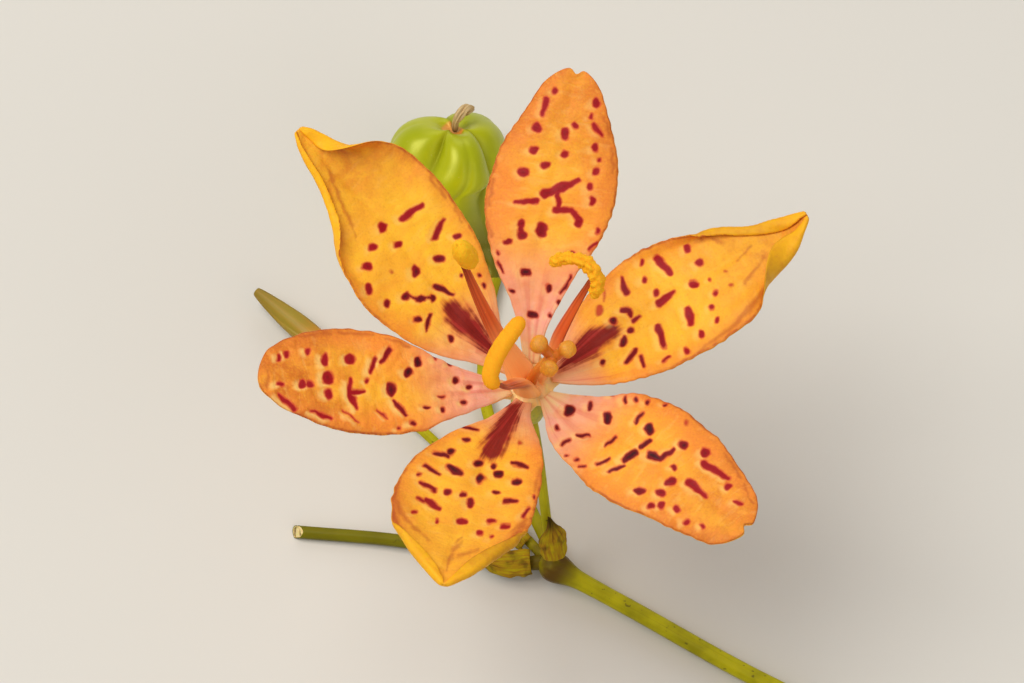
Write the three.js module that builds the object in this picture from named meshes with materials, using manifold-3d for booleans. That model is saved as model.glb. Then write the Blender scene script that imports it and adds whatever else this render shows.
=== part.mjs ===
// A bramble lily picked with its stem and laid on a table: one open bloom on an upright pedicel, a young green
// seed capsule, a bud and a cut pedicel, which all leave one joint at the end of the stem.
// The bloom has three outer and three inner tepals, three stamens and a style over a small ovary.
// Millimetres, +Z up. While it is built, the bloom's axis is the line x = 0, y = 0 and the table is z = 0.
// At the end the whole flower is moved sideways, so that the origin lies under the middle of its box.
import * as THREE from "three";
import { mergeVertices } from "three/addons/utils/BufferGeometryUtils.js";
import Module from "manifold-3d";

const wasm = await Module();
wasm.setup();

// Driving dimensions
const BLOOM_HEIGHT = 30; // from the table to the plane where the tepals join the ovary
const CLEARANCE = 0.3; // between neighbouring pieces
const BLADE_THICKNESS = 0.6; // of tepals and bracts
const CLAW_FOOT_RADIUS = 2.4; // how far from the bloom's axis a tepal begins
const CLAW_LIFT = CLEARANCE + BLADE_THICKNESS / 2; // of a tepal's middle surface over the receptacle
const LEAST_HALF_WIDTH = 0.35; // of a tepal at its tip

const OVARY_LENGTH = 6.6;
const OVARY_RADIUS = 1.8;
const RECEPTACLE_RADIUS = 3.1;

const FILAMENT_RADIUS = 1.1;
const FILAMENT_TIP_RADIUS = 0.3;
const FILAMENT_FLATNESS = 0.5; // its depth as a share of its width
const FILAMENT_FOOT_RADIUS = 1.4; // how far from the bloom's axis a filament stands
const FOOT_LIFT = 0.5; // of the filaments and the style, whose tilted feet then keep the clearance
const ANTHER_RADIUS = 0.72;
const STYLE_RADIUS = 0.45;
const STIGMA_RADIUS = 0.85;

const STEM_RADIUS = 0.85;
const JOINT_RADIUS = 1.5;
const BLOOM_PEDICEL_RADIUS = 0.5;
const CAPSULE_PEDICEL_RADIUS = 0.6;
const BUD_PEDICEL_RADIUS = 0.5;
const CUT_PEDICEL_RADIUS = 0.65;

const CAPSULE_RADIUS = 6.1;
const CAPSULE_GROOVE = 0.2; // depth between its lobes, as a share of its radius
const CAPSULE_GROOVES = [15, 152, 237]; // where they lie, in degrees from the back towards the left
const BUD_RADIUS = 1.6;
const REMNANT_RADIUS = 0.7;
const STUB_CUT = { at: [-22.5, -2.3, 0.6], facing: [-0.75, -0.2, 0.65] }; // the slanted end of the cut pedicel

const TABLE_SPAN = 400; // of the block that trims what lies on the table
const TABLE_DEPTH = 40;
const STUB_CUT_SPAN = 6; // of the block that cuts the stub

const COLOURS = {
  outerTepal: 0xf3a531,
  innerTepal: 0xf39c3f,
  filament: 0xd2602a,
  anther: 0xf5a818,
  style: 0xd08a34,
  ovary: 0x7d8c14,
  stem: 0x8a9018,
  capsule: 0xa0ac08,
  remnant: 0xb89878,
  bud: 0xb8923c,
  bract: 0x8a6a20,
};

// The six tepals. Every list runs evenly from the foot of the claw to the tip: reach, sway and rise give the midrib
// outwards, to its left and upwards, left and right give the half widths along the surface, cup is the angle by
// which the whole half blade turns up, and curlLeft and curlRight that by which its margin turns in further.
// A notch is a dent in the tip, placed and measured as a share of the half width.
const TEPALS = [
  {
    name: "outer_tepal_right",
    azimuth: 23.5,
    reach: [CLAW_FOOT_RADIUS, 6.8, 11.8, 17.0, 22.2, 26.9],
    sway: [0, 0, 0, 0, 0, 0],
    rise: [CLAW_LIFT, 3.6, 6.2, 8.6, 10.8, 13.0],
    left: [0.8, 1.8, 3.7, 4.7, 5.4, 5.5, 5.0, 4.5, 3.2, 2.0, 0.5],
    right: [0.8, 2.9, 5.0, 6.1, 6.6, 6.5, 6.1, 5.1, 3.5, 2.1, 0.5],
    cup: [30, 25, 20, 15, 20, 30],
    curlLeft: [0, 0, 0, 40, 150, 50],
    curlRight: [0, 0, 0, 0, 50, 100],
  },
  {
    name: "outer_tepal_left",
    azimuth: 137.3,
    reach: [CLAW_FOOT_RADIUS, 7.2, 12.6, 18.2, 23.6, 28.4],
    sway: [0, 0.6, 0.4, 0, 0, 0],
    rise: [CLAW_LIFT, 3.6, 6.2, 8.6, 10.8, 13.2],
    left: [0.8, 1.9, 4.4, 6.2, 7.0, 7.3, 7.2, 5.8, 3.9, 2.3, 0.5],
    right: [0.8, 1.6, 3.7, 5.0, 5.9, 6.4, 6.6, 6.3, 5.8, 3.9, 0.5],
    cup: [30, 25, 20, 15, 20, 30],
    curlLeft: [0, 0, 0, 40, 150, 60],
    curlRight: [0, 0, 0, 0, 60, 130],
  },
  {
    name: "outer_tepal_front",
    azimuth: 253,
    reach: [CLAW_FOOT_RADIUS, 6.8, 11.6, 16.4, 21.3, 26.2],
    sway: [0, -0.5, -0.8, -0.8, -0.5, 0.2],
    rise: [CLAW_LIFT, 3.8, 6.6, 9.2, 11.6, 14.2],
    left: [0.8, 1.6, 3.3, 4.6, 5.2, 5.3, 5.0, 4.5, 3.9, 2.6, 0.5],
    right: [0.8, 1.2, 2.2, 3.8, 5.1, 6.1, 6.8, 7.2, 6.8, 4.6, 0.5],
    cup: [30, 25, 15, 10, 20, 30],
    curlLeft: [0, 0, 0, 0, 110, 90],
    curlRight: [0, 0, 0, 0, 50, 130],
  },
  {
    name: "inner_tepal_back",
    azimuth: 80,
    reach: [CLAW_FOOT_RADIUS, 6.6, 11.3, 16.2, 21.1, 25.9],
    sway: [0.2, 0.8, 1.0, 0.7, 0.4, 0.3],
    rise: [CLAW_LIFT + 0.2, 4.0, 6.8, 9.2, 11.3, 13.2],
    left: [0.7, 1.2, 2.2, 3.8, 5.0, 5.75, 5.75, 5.3, 4.2, 3.0, 1.8],
    right: [0.7, 1.2, 2.4, 3.7, 5.0, 5.7, 5.85, 5.4, 4.3, 2.9, 1.7],
    cup: [30, 20, 5, -8, -10, -8],
    notch: { at: -0.05, width: 0.3, depth: 0.5 },
  },
  {
    name: "inner_tepal_left",
    azimuth: 195.2,
    reach: [CLAW_FOOT_RADIUS, 6.6, 11.0, 15.5, 20.0, 24.4],
    sway: [0.1, 0.5, 0.3, -0.2, -0.7, -0.8],
    rise: [CLAW_LIFT + 0.2, 4.2, 7.0, 9.2, 11.2, 12.8],
    left: [0.7, 1.6, 2.6, 3.7, 4.75, 5.1, 5.1, 4.85, 4.1, 2.8, 1.4],
    right: [0.7, 1.2, 2.1, 3.0, 4.35, 5.3, 5.7, 5.4, 4.8, 3.6, 1.9],
    cup: [30, 20, 5, -8, -10, -8],
    notch: { at: 0, width: 0.2, depth: 0 },
  },
  {
    name: "inner_tepal_right",
    azimuth: 315.5,
    reach: [CLAW_FOOT_RADIUS, 6.8, 11.5, 16.3, 21.1, 25.9],
    sway: [0, -0.4, 0.3, 0.7, 0.7, 0.6],
    rise: [CLAW_LIFT + 0.2, 3.2, 4.9, 6.3, 7.4, 8.4],
    left: [0.7, 1.6, 3.0, 4.4, 5.3, 5.6, 5.4, 4.9, 4.2, 3.2, 1.8],
    right: [0.7, 1.9, 3.7, 4.8, 5.5, 5.6, 5.2, 4.6, 4.1, 3.3, 2.2],
    cup: [30, 20, 5, -8, -10, -8],
    notch: { at: 0.4, width: 0.25, depth: 0.7 },
  },
];
const NO_CURL = [0, 0, 0, 0, 0, 0];
const NO_NOTCH = { at: 0, width: 0.2, depth: 0 };
const MARGIN_STARTS = 0.4; // where a margin begins to turn in, as a share of the half width
const MARGIN_TURNED = 0.85; // and where it has turned
const BLUNT_LENGTH = 0.1; // share of an inner tepal's length over which its tip is rounded

// The three stamens stand before the outer tepals. Their paths are given from the middle of the bloom, in
// millimetres to the right, backwards and upwards.
const STAMENS = [
  {
    name: "right",
    azimuth: 23.5,
    filament: [[1.9, 1.2, 3.2], [2.5, 1.8, 6.4], [3.8, 2.8, 10.1], [5.05, 3.55, 13.4]],
    anther: [[5.5, 2.3, 13.5], [5.9, 3.1, 14.6], [5.6, 4.0, 15.3], [4.5, 4.8, 15.7], [3.1, 5.2, 15.5], [1.7, 5.2, 14.6]],
  },
  {
    name: "left",
    azimuth: 137.3,
    filament: [[-1.6, 1.4, 2.4], [-2.7, 2.2, 4.9], [-4.5, 4.1, 9.1], [-5.9, 5.7, 13.3]],
    anther: [[-5.1, 5.5, 13.7], [-5.8, 5.5, 15.8], [-6.5, 5.5, 17.5]],
  },
  {
    name: "front",
    azimuth: 253,
    filament: [[-0.8, -1.8, 3.2], [-1.6, -3.1, 6.3], [-2.3, -4.5, 9.4], [-2.85, -5.65, 12.8]],
    anther: [[-2.9, -6.3, 13.2], [-3.5, -5.6, 13.9], [-3.3, -4.6, 14.4], [-2.7, -3.3, 14.8], [-1.8, -1.9, 14.9], [-0.7, -0.2, 14.7]],
  },
];

const STYLE_PATH = [[0, 0, FOOT_LIFT], [0.5, -0.1, 3], [1.3, -0.4, 5.6], [2.0, -0.8, 7.8]];
const STIGMAS = [[0.8, -0.2, 9.1], [3.2, -0.6, 8.9], [1.7, -2.0, 8.3]];

// Paths of the other pieces, in millimetres from the point of the table under the bloom.
const BLOOM_PEDICEL_PATH = [[0, 0, 23], [0.4, -0.4, 21], [0.9, -1.0, 15], [1.5, -3.2, 8.5], [1.95, -5.7, 3.8]];
const STEM_PATH = [[1.1, -5.9, 2.3], [2.7, -6.7, 1.9], [10, -10.8, 1.4], [22.5, -18.1, 1.1], [38, -25.5, 0.95], [54, -30, 0.75]];
const CUT_PEDICEL_PATH = [[0.5, -6.0, 1.9], [-2.3, -6.0, 1.4], [-11.6, -3.6, 0.9], [-23.1, -2.3, 0.55]];
const BUD_PEDICEL_PATH = [[0.8, -4.8, 1.5], [-4, 0.9, 1.2], [-10.3, 7.9, 1.4], [-17.0, 13.3, 2.0]];
const BUD_PATH = [[-17.4, 13.6, 2.1], [-22, 18.2, 2.2], [-27.1, 22.8, 2.3]];
const CAPSULE_PEDICEL_PATH = [[2.1, -4.6, 2.3], [-0.8, 2.0, 1.4], [-4.1, 10.5, 1.0], [-4.4, 18, 0.9], [-3.35, 24.0, 1.05]];
const CAPSULE_PATH = [[-3.4, 24.6, 1.0], [-5.0, 28.5, 2.0], [-7.9, 33.1, 6.2], [-7.4, 37.0, 11.2]];
const REMNANT_PATH = [[-7.3, 36.6, 10.6], [-7.2, 37.0, 11.7], [-6.5, 37.8, 12.3], [-5.4, 38.3, 12.0]];

// Papery bracts are half tubes round a path. facing is the way in which their back looks.
const BRACTS = [
  {
    name: "bract_at_bloom",
    path: [[2.3, -6.1, 4.3], [2.0, -5.0, 6.2], [1.6, -3.9, 8.6]],
    radius: [1.25, 1.35, 0.9],
    spread: [80, 80, 12],
    facing: [0.5, -0.9, 0.2],
  },
  {
    name: "bract_at_cut_pedicel",
    path: [[0.3, -6.0, 1.9], [-2.2, -6.0, 1.5], [-5.0, -5.4, 1.3]],
    radius: [1.3, 1.35, 1.1],
    spread: [75, 70, 12],
    facing: [0, -0.5, 0.9],
  },
  {
    name: "bract_at_bud_pedicel",
    path: [[0.1, -4.0, 1.5], [-1.1, -2.6, 1.4], [-2.6, -0.8, 1.4]],
    radius: [1.1, 1.15, 1.0],
    spread: [60, 60, 12],
    facing: [-0.6, -0.4, 0.7],
  },
];

const radians = THREE.MathUtils.degToRad;
const smoothstep = THREE.MathUtils.smoothstep;
const vector = (x, y, z) => new THREE.Vector3(x, y, z);
const UP = vector(0, 0, 1);

// A value that changes smoothly along a list of evenly spaced values, at the share u of its length.
function along(values, u) {
  const last = values.length - 1;
  const i = Math.min(Math.floor(u * last), last - 1);
  const t = u * last - i;
  const [a, b, c, d] = [i - 1, i, i + 1, i + 2].map((k) => values[THREE.MathUtils.clamp(k, 0, last)]);
  return b + 0.5 * t * (c - a + t * (2 * a - 5 * b + 4 * c - d + t * (3 * (b - c) + d - a)));
}

const pathThrough = (points, lift = 0) =>
  new THREE.CatmullRomCurve3(points.map(([x, y, z]) => vector(x, y, z + lift)), false, "centripetal");

// A closed geometry as a solid that can be joined and cut, and such a solid as a geometry again.
function solidOf(geometry) {
  const places = new THREE.BufferGeometry()
    .setAttribute("position", geometry.getAttribute("position"))
    .setIndex(geometry.index);
  const merged = mergeVertices(places, 1e-4);
  const corners = [...merged.index.array];
  const triangles = [];
  for (let i = 0; i < corners.length; i += 3) {
    const [a, b, c] = corners.slice(i, i + 3);
    if (a !== b && b !== c && c !== a) triangles.push(a, b, c);
  }
  return new wasm.Manifold(
    new wasm.Mesh({
      numProp: 3,
      vertProperties: new Float32Array(merged.attributes.position.array),
      triVerts: new Uint32Array(triangles),
    }),
  );
}

function geometryOf(solid) {
  const { vertProperties, triVerts } = solid.getMesh();
  return new THREE.BufferGeometry()
    .setAttribute("position", new THREE.BufferAttribute(vertProperties, 3))
    .setIndex(new THREE.BufferAttribute(triVerts, 1));
}

const joined = (geometries) => geometryOf(geometries.map(solidOf).reduce((whole, piece) => whole.add(piece)));

// A piece without what would reach below the table, which leaves a small flat spot to rest on.
function rested(geometry) {
  const table = new THREE.BoxGeometry(TABLE_SPAN, TABLE_SPAN, TABLE_DEPTH).translate(0, 0, -TABLE_DEPTH / 2);
  return geometryOf(solidOf(geometry).subtract(solidOf(table)));
}

// A piece cut off by the plane through at. What lies beyond it, on the side that it faces, goes.
function cutOff(geometry, { at, facing }) {
  const beyond = new THREE.BoxGeometry(STUB_CUT_SPAN, STUB_CUT_SPAN, STUB_CUT_SPAN)
    .translate(0, 0, STUB_CUT_SPAN / 2)
    .applyQuaternion(new THREE.Quaternion().setFromUnitVectors(UP, vector(...facing).normalize()))
    .translate(...at);
  return geometryOf(solidOf(geometry).subtract(solidOf(beyond)));
}

function mesh(name, geometry, colour, roughness = 0.6) {
  const material = new THREE.MeshStandardMaterial({ color: colour, roughness, metalness: 0, flatShading: true });
  const made = new THREE.Mesh(geometry, material);
  made.name = name;
  return made;
}

// A thin closed blade. place(u, v) gives the point of its middle surface at u along and v from -1 to 1 across, and
// the way that it faces there. Both faces are split into the same triangles, closer together towards the tip
// where crowding is above 1.
function blade(place, stepsAlong, stepsAcross, crowding = 1) {
  const sheet = new THREE.PlaneGeometry(1, 1, stepsAcross, stepsAlong);
  const grid = sheet.attributes.position;
  const points = [];
  for (let i = 0; i < grid.count; i++) {
    const left = grid.getY(i) + 0.5;
    points.push(place(1 - left ** crowding, 2 * grid.getX(i)));
  }
  const places = [];
  for (const side of [0.5, -0.5])
    for (const { at, facing } of points)
      places.push(...at.clone().addScaledVector(facing, side * BLADE_THICKNESS));
  const front = [...sheet.index.array];
  const index = [...front];
  for (let i = 0; i < front.length; i += 3)
    index.push(front[i + 2] + grid.count, front[i + 1] + grid.count, front[i] + grid.count);
  const width = stepsAcross + 1;
  const rim = [];
  for (let x = 0; x < stepsAcross; x++) rim.push(x);
  for (let y = 0; y < stepsAlong; y++) rim.push(y * width + stepsAcross);
  for (let x = stepsAcross; x > 0; x--) rim.push(stepsAlong * width + x);
  for (let y = stepsAlong; y > 0; y--) rim.push(y * width);
  rim.forEach((a, i) => {
    const b = rim[(i + 1) % rim.length];
    index.push(a, b, b + grid.count, a, b + grid.count, a + grid.count);
  });
  return new THREE.BufferGeometry()
    .setAttribute("position", new THREE.Float32BufferAttribute(places, 3))
    .setIndex(index);
}

// A turned body bent along a path. profile lists [share of the length, radius]. Towards facing the body is flatness
// times as thick as it is wide, and swell(angle, share) multiplies its radius.
function bent(path, profile, { sides = 10, facing = UP, flatness = 1, swell = () => 1 } = {}) {
  const outline = profile.map(([share, radius]) => new THREE.Vector2(radius, share));
  const [foot, tip] = [outline[0].y, outline.at(-1).y];
  const geometry = new THREE.LatheGeometry([new THREE.Vector2(0, foot), ...outline, new THREE.Vector2(0, tip)], sides);
  const places = geometry.attributes.position;
  for (let i = 0; i < places.count; i++) {
    const share = THREE.MathUtils.clamp(places.getY(i), 0, 1);
    const tangent = path.getTangentAt(share);
    const front = facing.clone().addScaledVector(tangent, -facing.dot(tangent)).normalize();
    const side = tangent.clone().cross(front);
    const [x, z] = [places.getX(i), places.getZ(i)];
    const scale = swell(Math.atan2(x, z), share);
    const at = path.getPointAt(share).addScaledVector(side, x * scale);
    places.setXYZ(i, ...at.addScaledVector(front, z * scale * flatness));
  }
  return geometryOf(solidOf(geometry));
}

// A profile of one radius with rounded ends, which take up the given share of the length.
function rounded(radius, roundness, steps = 8) {
  return Array.from({ length: steps + 1 }, (_, i) => {
    const share = (1 - Math.cos((Math.PI * i) / steps)) / 2;
    const toEnd = Math.min(1, Math.min(share, 1 - share) / roundness);
    return [share, Math.max(radius * Math.sqrt(1 - (1 - toEnd) ** 2), radius * 0.3)];
  });
}

// A round pedicel or stem, cut straight at both ends.
function stalk(points, radius, steps, sides = 8) {
  const profile = Array.from({ length: steps + 1 }, (_, i) => [i / steps, radius]);
  return bent(pathThrough(points), profile, { sides });
}

// The middle surface of a tepal, as place(u, v).
function tepalSurface({ azimuth, reach, sway, rise, left, right, cup, curlLeft, curlRight, notch }) {
  const angle = radians(azimuth);
  const outward = vector(Math.cos(angle), Math.sin(angle), 0);
  const leftward = vector(-Math.sin(angle), Math.cos(angle), 0);
  const midrib = (u) =>
    vector(0, 0, BLOOM_HEIGHT + along(rise, u))
      .addScaledVector(outward, along(reach, u))
      .addScaledVector(leftward, along(sway, u));
  const isBlunt = notch !== undefined;
  const dent = notch ?? NO_NOTCH;
  return (u, v) => {
    const tangent = midrib(Math.min(u + 0.01, 1)).sub(midrib(Math.max(u - 0.01, 0))).normalize();
    const across = leftward.clone().addScaledVector(tangent, -leftward.dot(tangent)).normalize();
    const facing = tangent.clone().cross(across);
    const side = v < 0 ? -1 : 1;
    const rounding = isBlunt ? Math.max(0, (u - 1 + BLUNT_LENGTH) / BLUNT_LENGTH) : 0;
    const half = Math.max(along(side > 0 ? left : right, u) * Math.sqrt(1 - rounding ** 2), LEAST_HALF_WIDTH);
    const lift = radians(along(cup, u));
    const curl = radians(along((side > 0 ? curlLeft : curlRight) ?? NO_CURL, u));
    const lean = (share) => lift * share + curl * smoothstep(share, MARGIN_STARTS, MARGIN_TURNED);
    const steps = 12;
    const stride = (half * Math.abs(v)) / steps;
    const at = midrib(u);
    for (let i = 0; i < steps; i++) {
      const turn = lean((Math.abs(v) * (i + 0.5)) / steps);
      at.addScaledVector(across, side * stride * Math.cos(turn)).addScaledVector(facing, stride * Math.sin(turn));
    }
    const depth = dent.depth * Math.exp(-(((v - dent.at) / dent.width) ** 2)) * smoothstep(u, 0.9, 1);
    at.addScaledVector(tangent, -depth);
    const turn = lean(Math.abs(v));
    const normal = facing.multiplyScalar(Math.cos(turn)).addScaledVector(across, -side * Math.sin(turn));
    return { at, facing: normal };
  };
}

function tepal(shape) {
  const isInner = shape.notch !== undefined;
  const geometry = isInner ? blade(tepalSurface(shape), 18, 10, 1.3) : blade(tepalSurface(shape), 22, 16, 1.2);
  return mesh(shape.name, geometry, isInner ? COLOURS.innerTepal : COLOURS.outerTepal);
}

// The ovary, its neck and the flat receptacle on which the tepals, the stamens and the style stand.
function ovary() {
  const bottom = BLOOM_HEIGHT - OVARY_LENGTH;
  const outline = [
    [0, bottom], [0.7, bottom], [1.5, bottom + 1], [OVARY_RADIUS, bottom + 2.8], [1.6, bottom + 4.4],
    [1.2, bottom + 5.3], [1.9, bottom + 5.9], [RECEPTACLE_RADIUS, bottom + 6.3],
    [RECEPTACLE_RADIUS, BLOOM_HEIGHT], [0, BLOOM_HEIGHT],
  ];
  const geometry = new THREE.LatheGeometry(outline.map(([r, z]) => new THREE.Vector2(r, z)), 24).rotateX(Math.PI / 2);
  return mesh("ovary", geometryOf(solidOf(geometry)), COLOURS.ovary);
}

function filament({ name, azimuth, filament: points }) {
  const outward = vector(Math.cos(radians(azimuth)), Math.sin(radians(azimuth)), 0);
  const foot = outward.clone().multiplyScalar(FILAMENT_FOOT_RADIUS);
  const path = pathThrough([[foot.x, foot.y, FOOT_LIFT], ...points], BLOOM_HEIGHT);
  const profile = [0, 0.15, 0.3, 0.45, 0.6, 0.75, 0.9, 1].map((share) => [
    share,
    THREE.MathUtils.lerp(FILAMENT_RADIUS, FILAMENT_TIP_RADIUS, share ** 0.8),
  ]);
  return mesh(
    "filament_" + name,
    bent(path, profile, { sides: 10, facing: outward, flatness: FILAMENT_FLATNESS }),
    COLOURS.filament,
  );
}

function anther({ name, anther: points }) {
  const path = pathThrough(points, BLOOM_HEIGHT);
  return mesh("anther_" + name, bent(path, rounded(ANTHER_RADIUS, 0.12, 12), { sides: 10 }), COLOURS.anther);
}

// The style with its three arms, each of which ends in a round stigma.
function style() {
  const tip = STYLE_PATH.at(-1);
  const column = bent(pathThrough(STYLE_PATH, BLOOM_HEIGHT), [[0, STYLE_RADIUS], [0.3, STYLE_RADIUS], [0.6, 0.5], [1, 0.55]]);
  const arms = STIGMAS.flatMap((place) => {
    const arm = bent(pathThrough([tip, place], BLOOM_HEIGHT), [[0, 0.5], [0.5, 0.45], [1, 0.5]], { sides: 8 });
    const stigma = new THREE.SphereGeometry(STIGMA_RADIUS, 12, 8).translate(place[0], place[1], place[2] + BLOOM_HEIGHT);
    return [arm, stigma];
  });
  const crown = new THREE.SphereGeometry(0.6, 10, 8).translate(tip[0], tip[1], tip[2] + BLOOM_HEIGHT);
  return mesh("style", joined([column, crown, ...arms]), COLOURS.style);
}

// The stem with the swollen joint at its upper end.
function mainStem() {
  const profile = [
    [0, 0.6], [0.008, 1.15], [0.02, JOINT_RADIUS], [0.035, JOINT_RADIUS], [0.055, 1.15], [0.08, STEM_RADIUS],
    [0.2, STEM_RADIUS], [0.32, STEM_RADIUS], [0.44, STEM_RADIUS], [0.56, STEM_RADIUS], [0.68, STEM_RADIUS],
    [0.8, STEM_RADIUS], [0.9, STEM_RADIUS], [1, STEM_RADIUS],
  ];
  return mesh("main_stem", rested(bent(pathThrough(STEM_PATH), profile, { sides: 14 })), COLOURS.stem);
}

// The unripe capsule: three lobes that taper into its pedicel and stand round a small pit at the top.
function capsule() {
  const lobes = (angle, share) => {
    const bearing = THREE.MathUtils.euclideanModulo(THREE.MathUtils.radToDeg(angle) - CAPSULE_GROOVES[0], 360);
    const bounds = [...CAPSULE_GROOVES.map((groove) => groove - CAPSULE_GROOVES[0]), 360];
    const i = bounds.findIndex((bound) => bearing < bound) - 1;
    const within = (bearing - bounds[i]) / (bounds[i + 1] - bounds[i]);
    return 1 - CAPSULE_GROOVE * (1 - Math.sin(Math.PI * within)) ** 1.5 * smoothstep(share, 0.1, 0.6);
  };
  const profile = [
    [0, 0.13], [0.1, 0.17], [0.2, 0.32], [0.3, 0.52], [0.4, 0.71], [0.5, 0.86], [0.6, 0.95], [0.7, 1],
    [0.8, 0.97], [0.9, 0.84], [0.96, 0.68], [0.99, 0.5], [0.98, 0.32], [0.93, 0.2],
  ].map(([share, radius]) => [share, radius * CAPSULE_RADIUS]);
  const body = bent(pathThrough(CAPSULE_PATH), profile, { sides: 36, facing: vector(0, 1, 0), swell: lobes });
  return mesh("capsule", rested(body), COLOURS.capsule, 0.35);
}

function remnant() {
  const profile = [[0, 0.6], [0.3, 0.8], [0.6, 1], [0.85, 0.7], [1, 0.45]].map(([share, radius]) => [
    share,
    radius * REMNANT_RADIUS,
  ]);
  return mesh(
    "withered_flower",
    bent(pathThrough(REMNANT_PATH), profile, { sides: 7, facing: vector(1, 0, 0), flatness: 0.7 }),
    COLOURS.remnant,
    0.9,
  );
}

function bud() {
  const radii = [0.4, 0.75, 0.95, 1, 0.92, 0.7, 0.35];
  const profile = radii.map((radius, i) => [i / (radii.length - 1), radius * BUD_RADIUS]);
  return mesh("bud", bent(pathThrough(BUD_PATH), profile, { sides: 12 }), COLOURS.bud);
}

function bract({ name, path: points, radius, spread, facing }) {
  const path = pathThrough(points);
  const back = vector(...facing).normalize();
  const place = (u, v) => {
    const tangent = path.getTangentAt(u);
    const out = back.clone().addScaledVector(tangent, -back.dot(tangent)).normalize();
    const away = out.applyAxisAngle(tangent, v * radians(along(spread, u)));
    return { at: path.getPointAt(u).addScaledVector(away, along(radius, u)), facing: away.clone().negate() };
  };
  return mesh(name, blade(place, 8, 8), COLOURS.bract, 0.85);
}

const flower = new THREE.Group();
flower.add(
  ...TEPALS.map(tepal),
  ...STAMENS.flatMap((stamen) => [filament(stamen), anther(stamen)]),
  style(),
  ovary(),
  mesh("bloom_pedicel", stalk(BLOOM_PEDICEL_PATH, BLOOM_PEDICEL_RADIUS, 10), COLOURS.stem),
  mainStem(),
  mesh("cut_pedicel", rested(cutOff(stalk(CUT_PEDICEL_PATH, CUT_PEDICEL_RADIUS, 10, 10), STUB_CUT)), COLOURS.stem),
  mesh("bud_pedicel", stalk(BUD_PEDICEL_PATH, BUD_PEDICEL_RADIUS, 10), COLOURS.stem),
  bud(),
  mesh("capsule_pedicel", stalk(CAPSULE_PEDICEL_PATH, CAPSULE_PEDICEL_RADIUS, 12), COLOURS.stem),
  capsule(),
  remnant(),
  ...BRACTS.map(bract),
);

const box = new THREE.Box3().setFromObject(flower);
const middle = box.getCenter(new THREE.Vector3());
for (const piece of flower.children) piece.geometry.translate(-middle.x, -middle.y, -box.min.z);

export default flower;
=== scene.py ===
"""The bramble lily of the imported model, dressed: tepals with spots and flames, stamens, style, stem and capsule.

Lengths are millimetres from the point of the table under the bloom, until a piece is written in metres.
Spots, flames and outlines are placed by pixels of the photograph, which the camera below looks through.
"""

import math
import random

import bmesh
import bpy
import numpy as np
from mathutils import Matrix, Vector


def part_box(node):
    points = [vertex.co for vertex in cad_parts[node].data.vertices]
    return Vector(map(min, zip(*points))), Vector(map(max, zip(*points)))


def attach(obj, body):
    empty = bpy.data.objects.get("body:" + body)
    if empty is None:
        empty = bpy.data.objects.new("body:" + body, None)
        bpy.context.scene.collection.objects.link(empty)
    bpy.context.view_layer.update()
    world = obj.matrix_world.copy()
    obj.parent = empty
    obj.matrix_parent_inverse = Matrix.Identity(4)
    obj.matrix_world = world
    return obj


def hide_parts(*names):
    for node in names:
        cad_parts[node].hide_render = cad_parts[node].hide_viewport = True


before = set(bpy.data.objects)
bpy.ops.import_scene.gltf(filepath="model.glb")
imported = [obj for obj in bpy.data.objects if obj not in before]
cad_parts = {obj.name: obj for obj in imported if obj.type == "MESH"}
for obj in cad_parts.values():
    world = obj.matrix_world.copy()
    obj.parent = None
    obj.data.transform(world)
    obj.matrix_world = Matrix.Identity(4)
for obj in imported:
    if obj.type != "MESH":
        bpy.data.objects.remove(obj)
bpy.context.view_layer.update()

bl_info = {
    "name": "Bramble lily",
    "version": (1, 0, 0),
    "blender": (4, 5, 0),
    "location": "3D View > Sidebar > Lily",
    "description": "Builds a bramble lily bloom with its stem and seed capsule over the packed model",
    "category": "Add Mesh",
}

MM = 0.001
BODY = "root"
ovary_low, ovary_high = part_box("ovary")
BLOOM_AXIS = np.array([(ovary_low.x + ovary_high.x) / 2, (ovary_low.y + ovary_high.y) / 2, 0]) / MM
BLOOM_HEIGHT = ovary_high.z / MM

# The camera: it looks down on the bloom from the front, through the photograph's own frame
IMAGE_WIDTH = 1024
IMAGE_HEIGHT = 683
MM_PER_PIXEL = 0.0909  # at the middle of the bloom
BLOOM_PIXEL = (530, 385)
CAMERA_ELEVATION = math.radians(65)
CAMERA_DISTANCE = 360
SENSOR_WIDTH = 36
FOCAL_PIXELS = CAMERA_DISTANCE / MM_PER_PIXEL
VIEW_RIGHT = np.array([1.0, 0, 0])
VIEW_UP = np.array([0, math.sin(CAMERA_ELEVATION), math.cos(CAMERA_ELEVATION)])
VIEW_BACK = np.array([0, -math.cos(CAMERA_ELEVATION), math.sin(CAMERA_ELEVATION)])
IMAGE_MIDDLE = np.array([IMAGE_WIDTH / 2, IMAGE_HEIGHT / 2])
BLOOM_OFFSET = (np.array(BLOOM_PIXEL) - IMAGE_MIDDLE) * MM_PER_PIXEL
CAMERA_PLACE = (
    np.array([0, 0, BLOOM_HEIGHT])
    - VIEW_RIGHT * BLOOM_OFFSET[0]
    + VIEW_UP * BLOOM_OFFSET[1]
    + VIEW_BACK * CAMERA_DISTANCE
)

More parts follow.
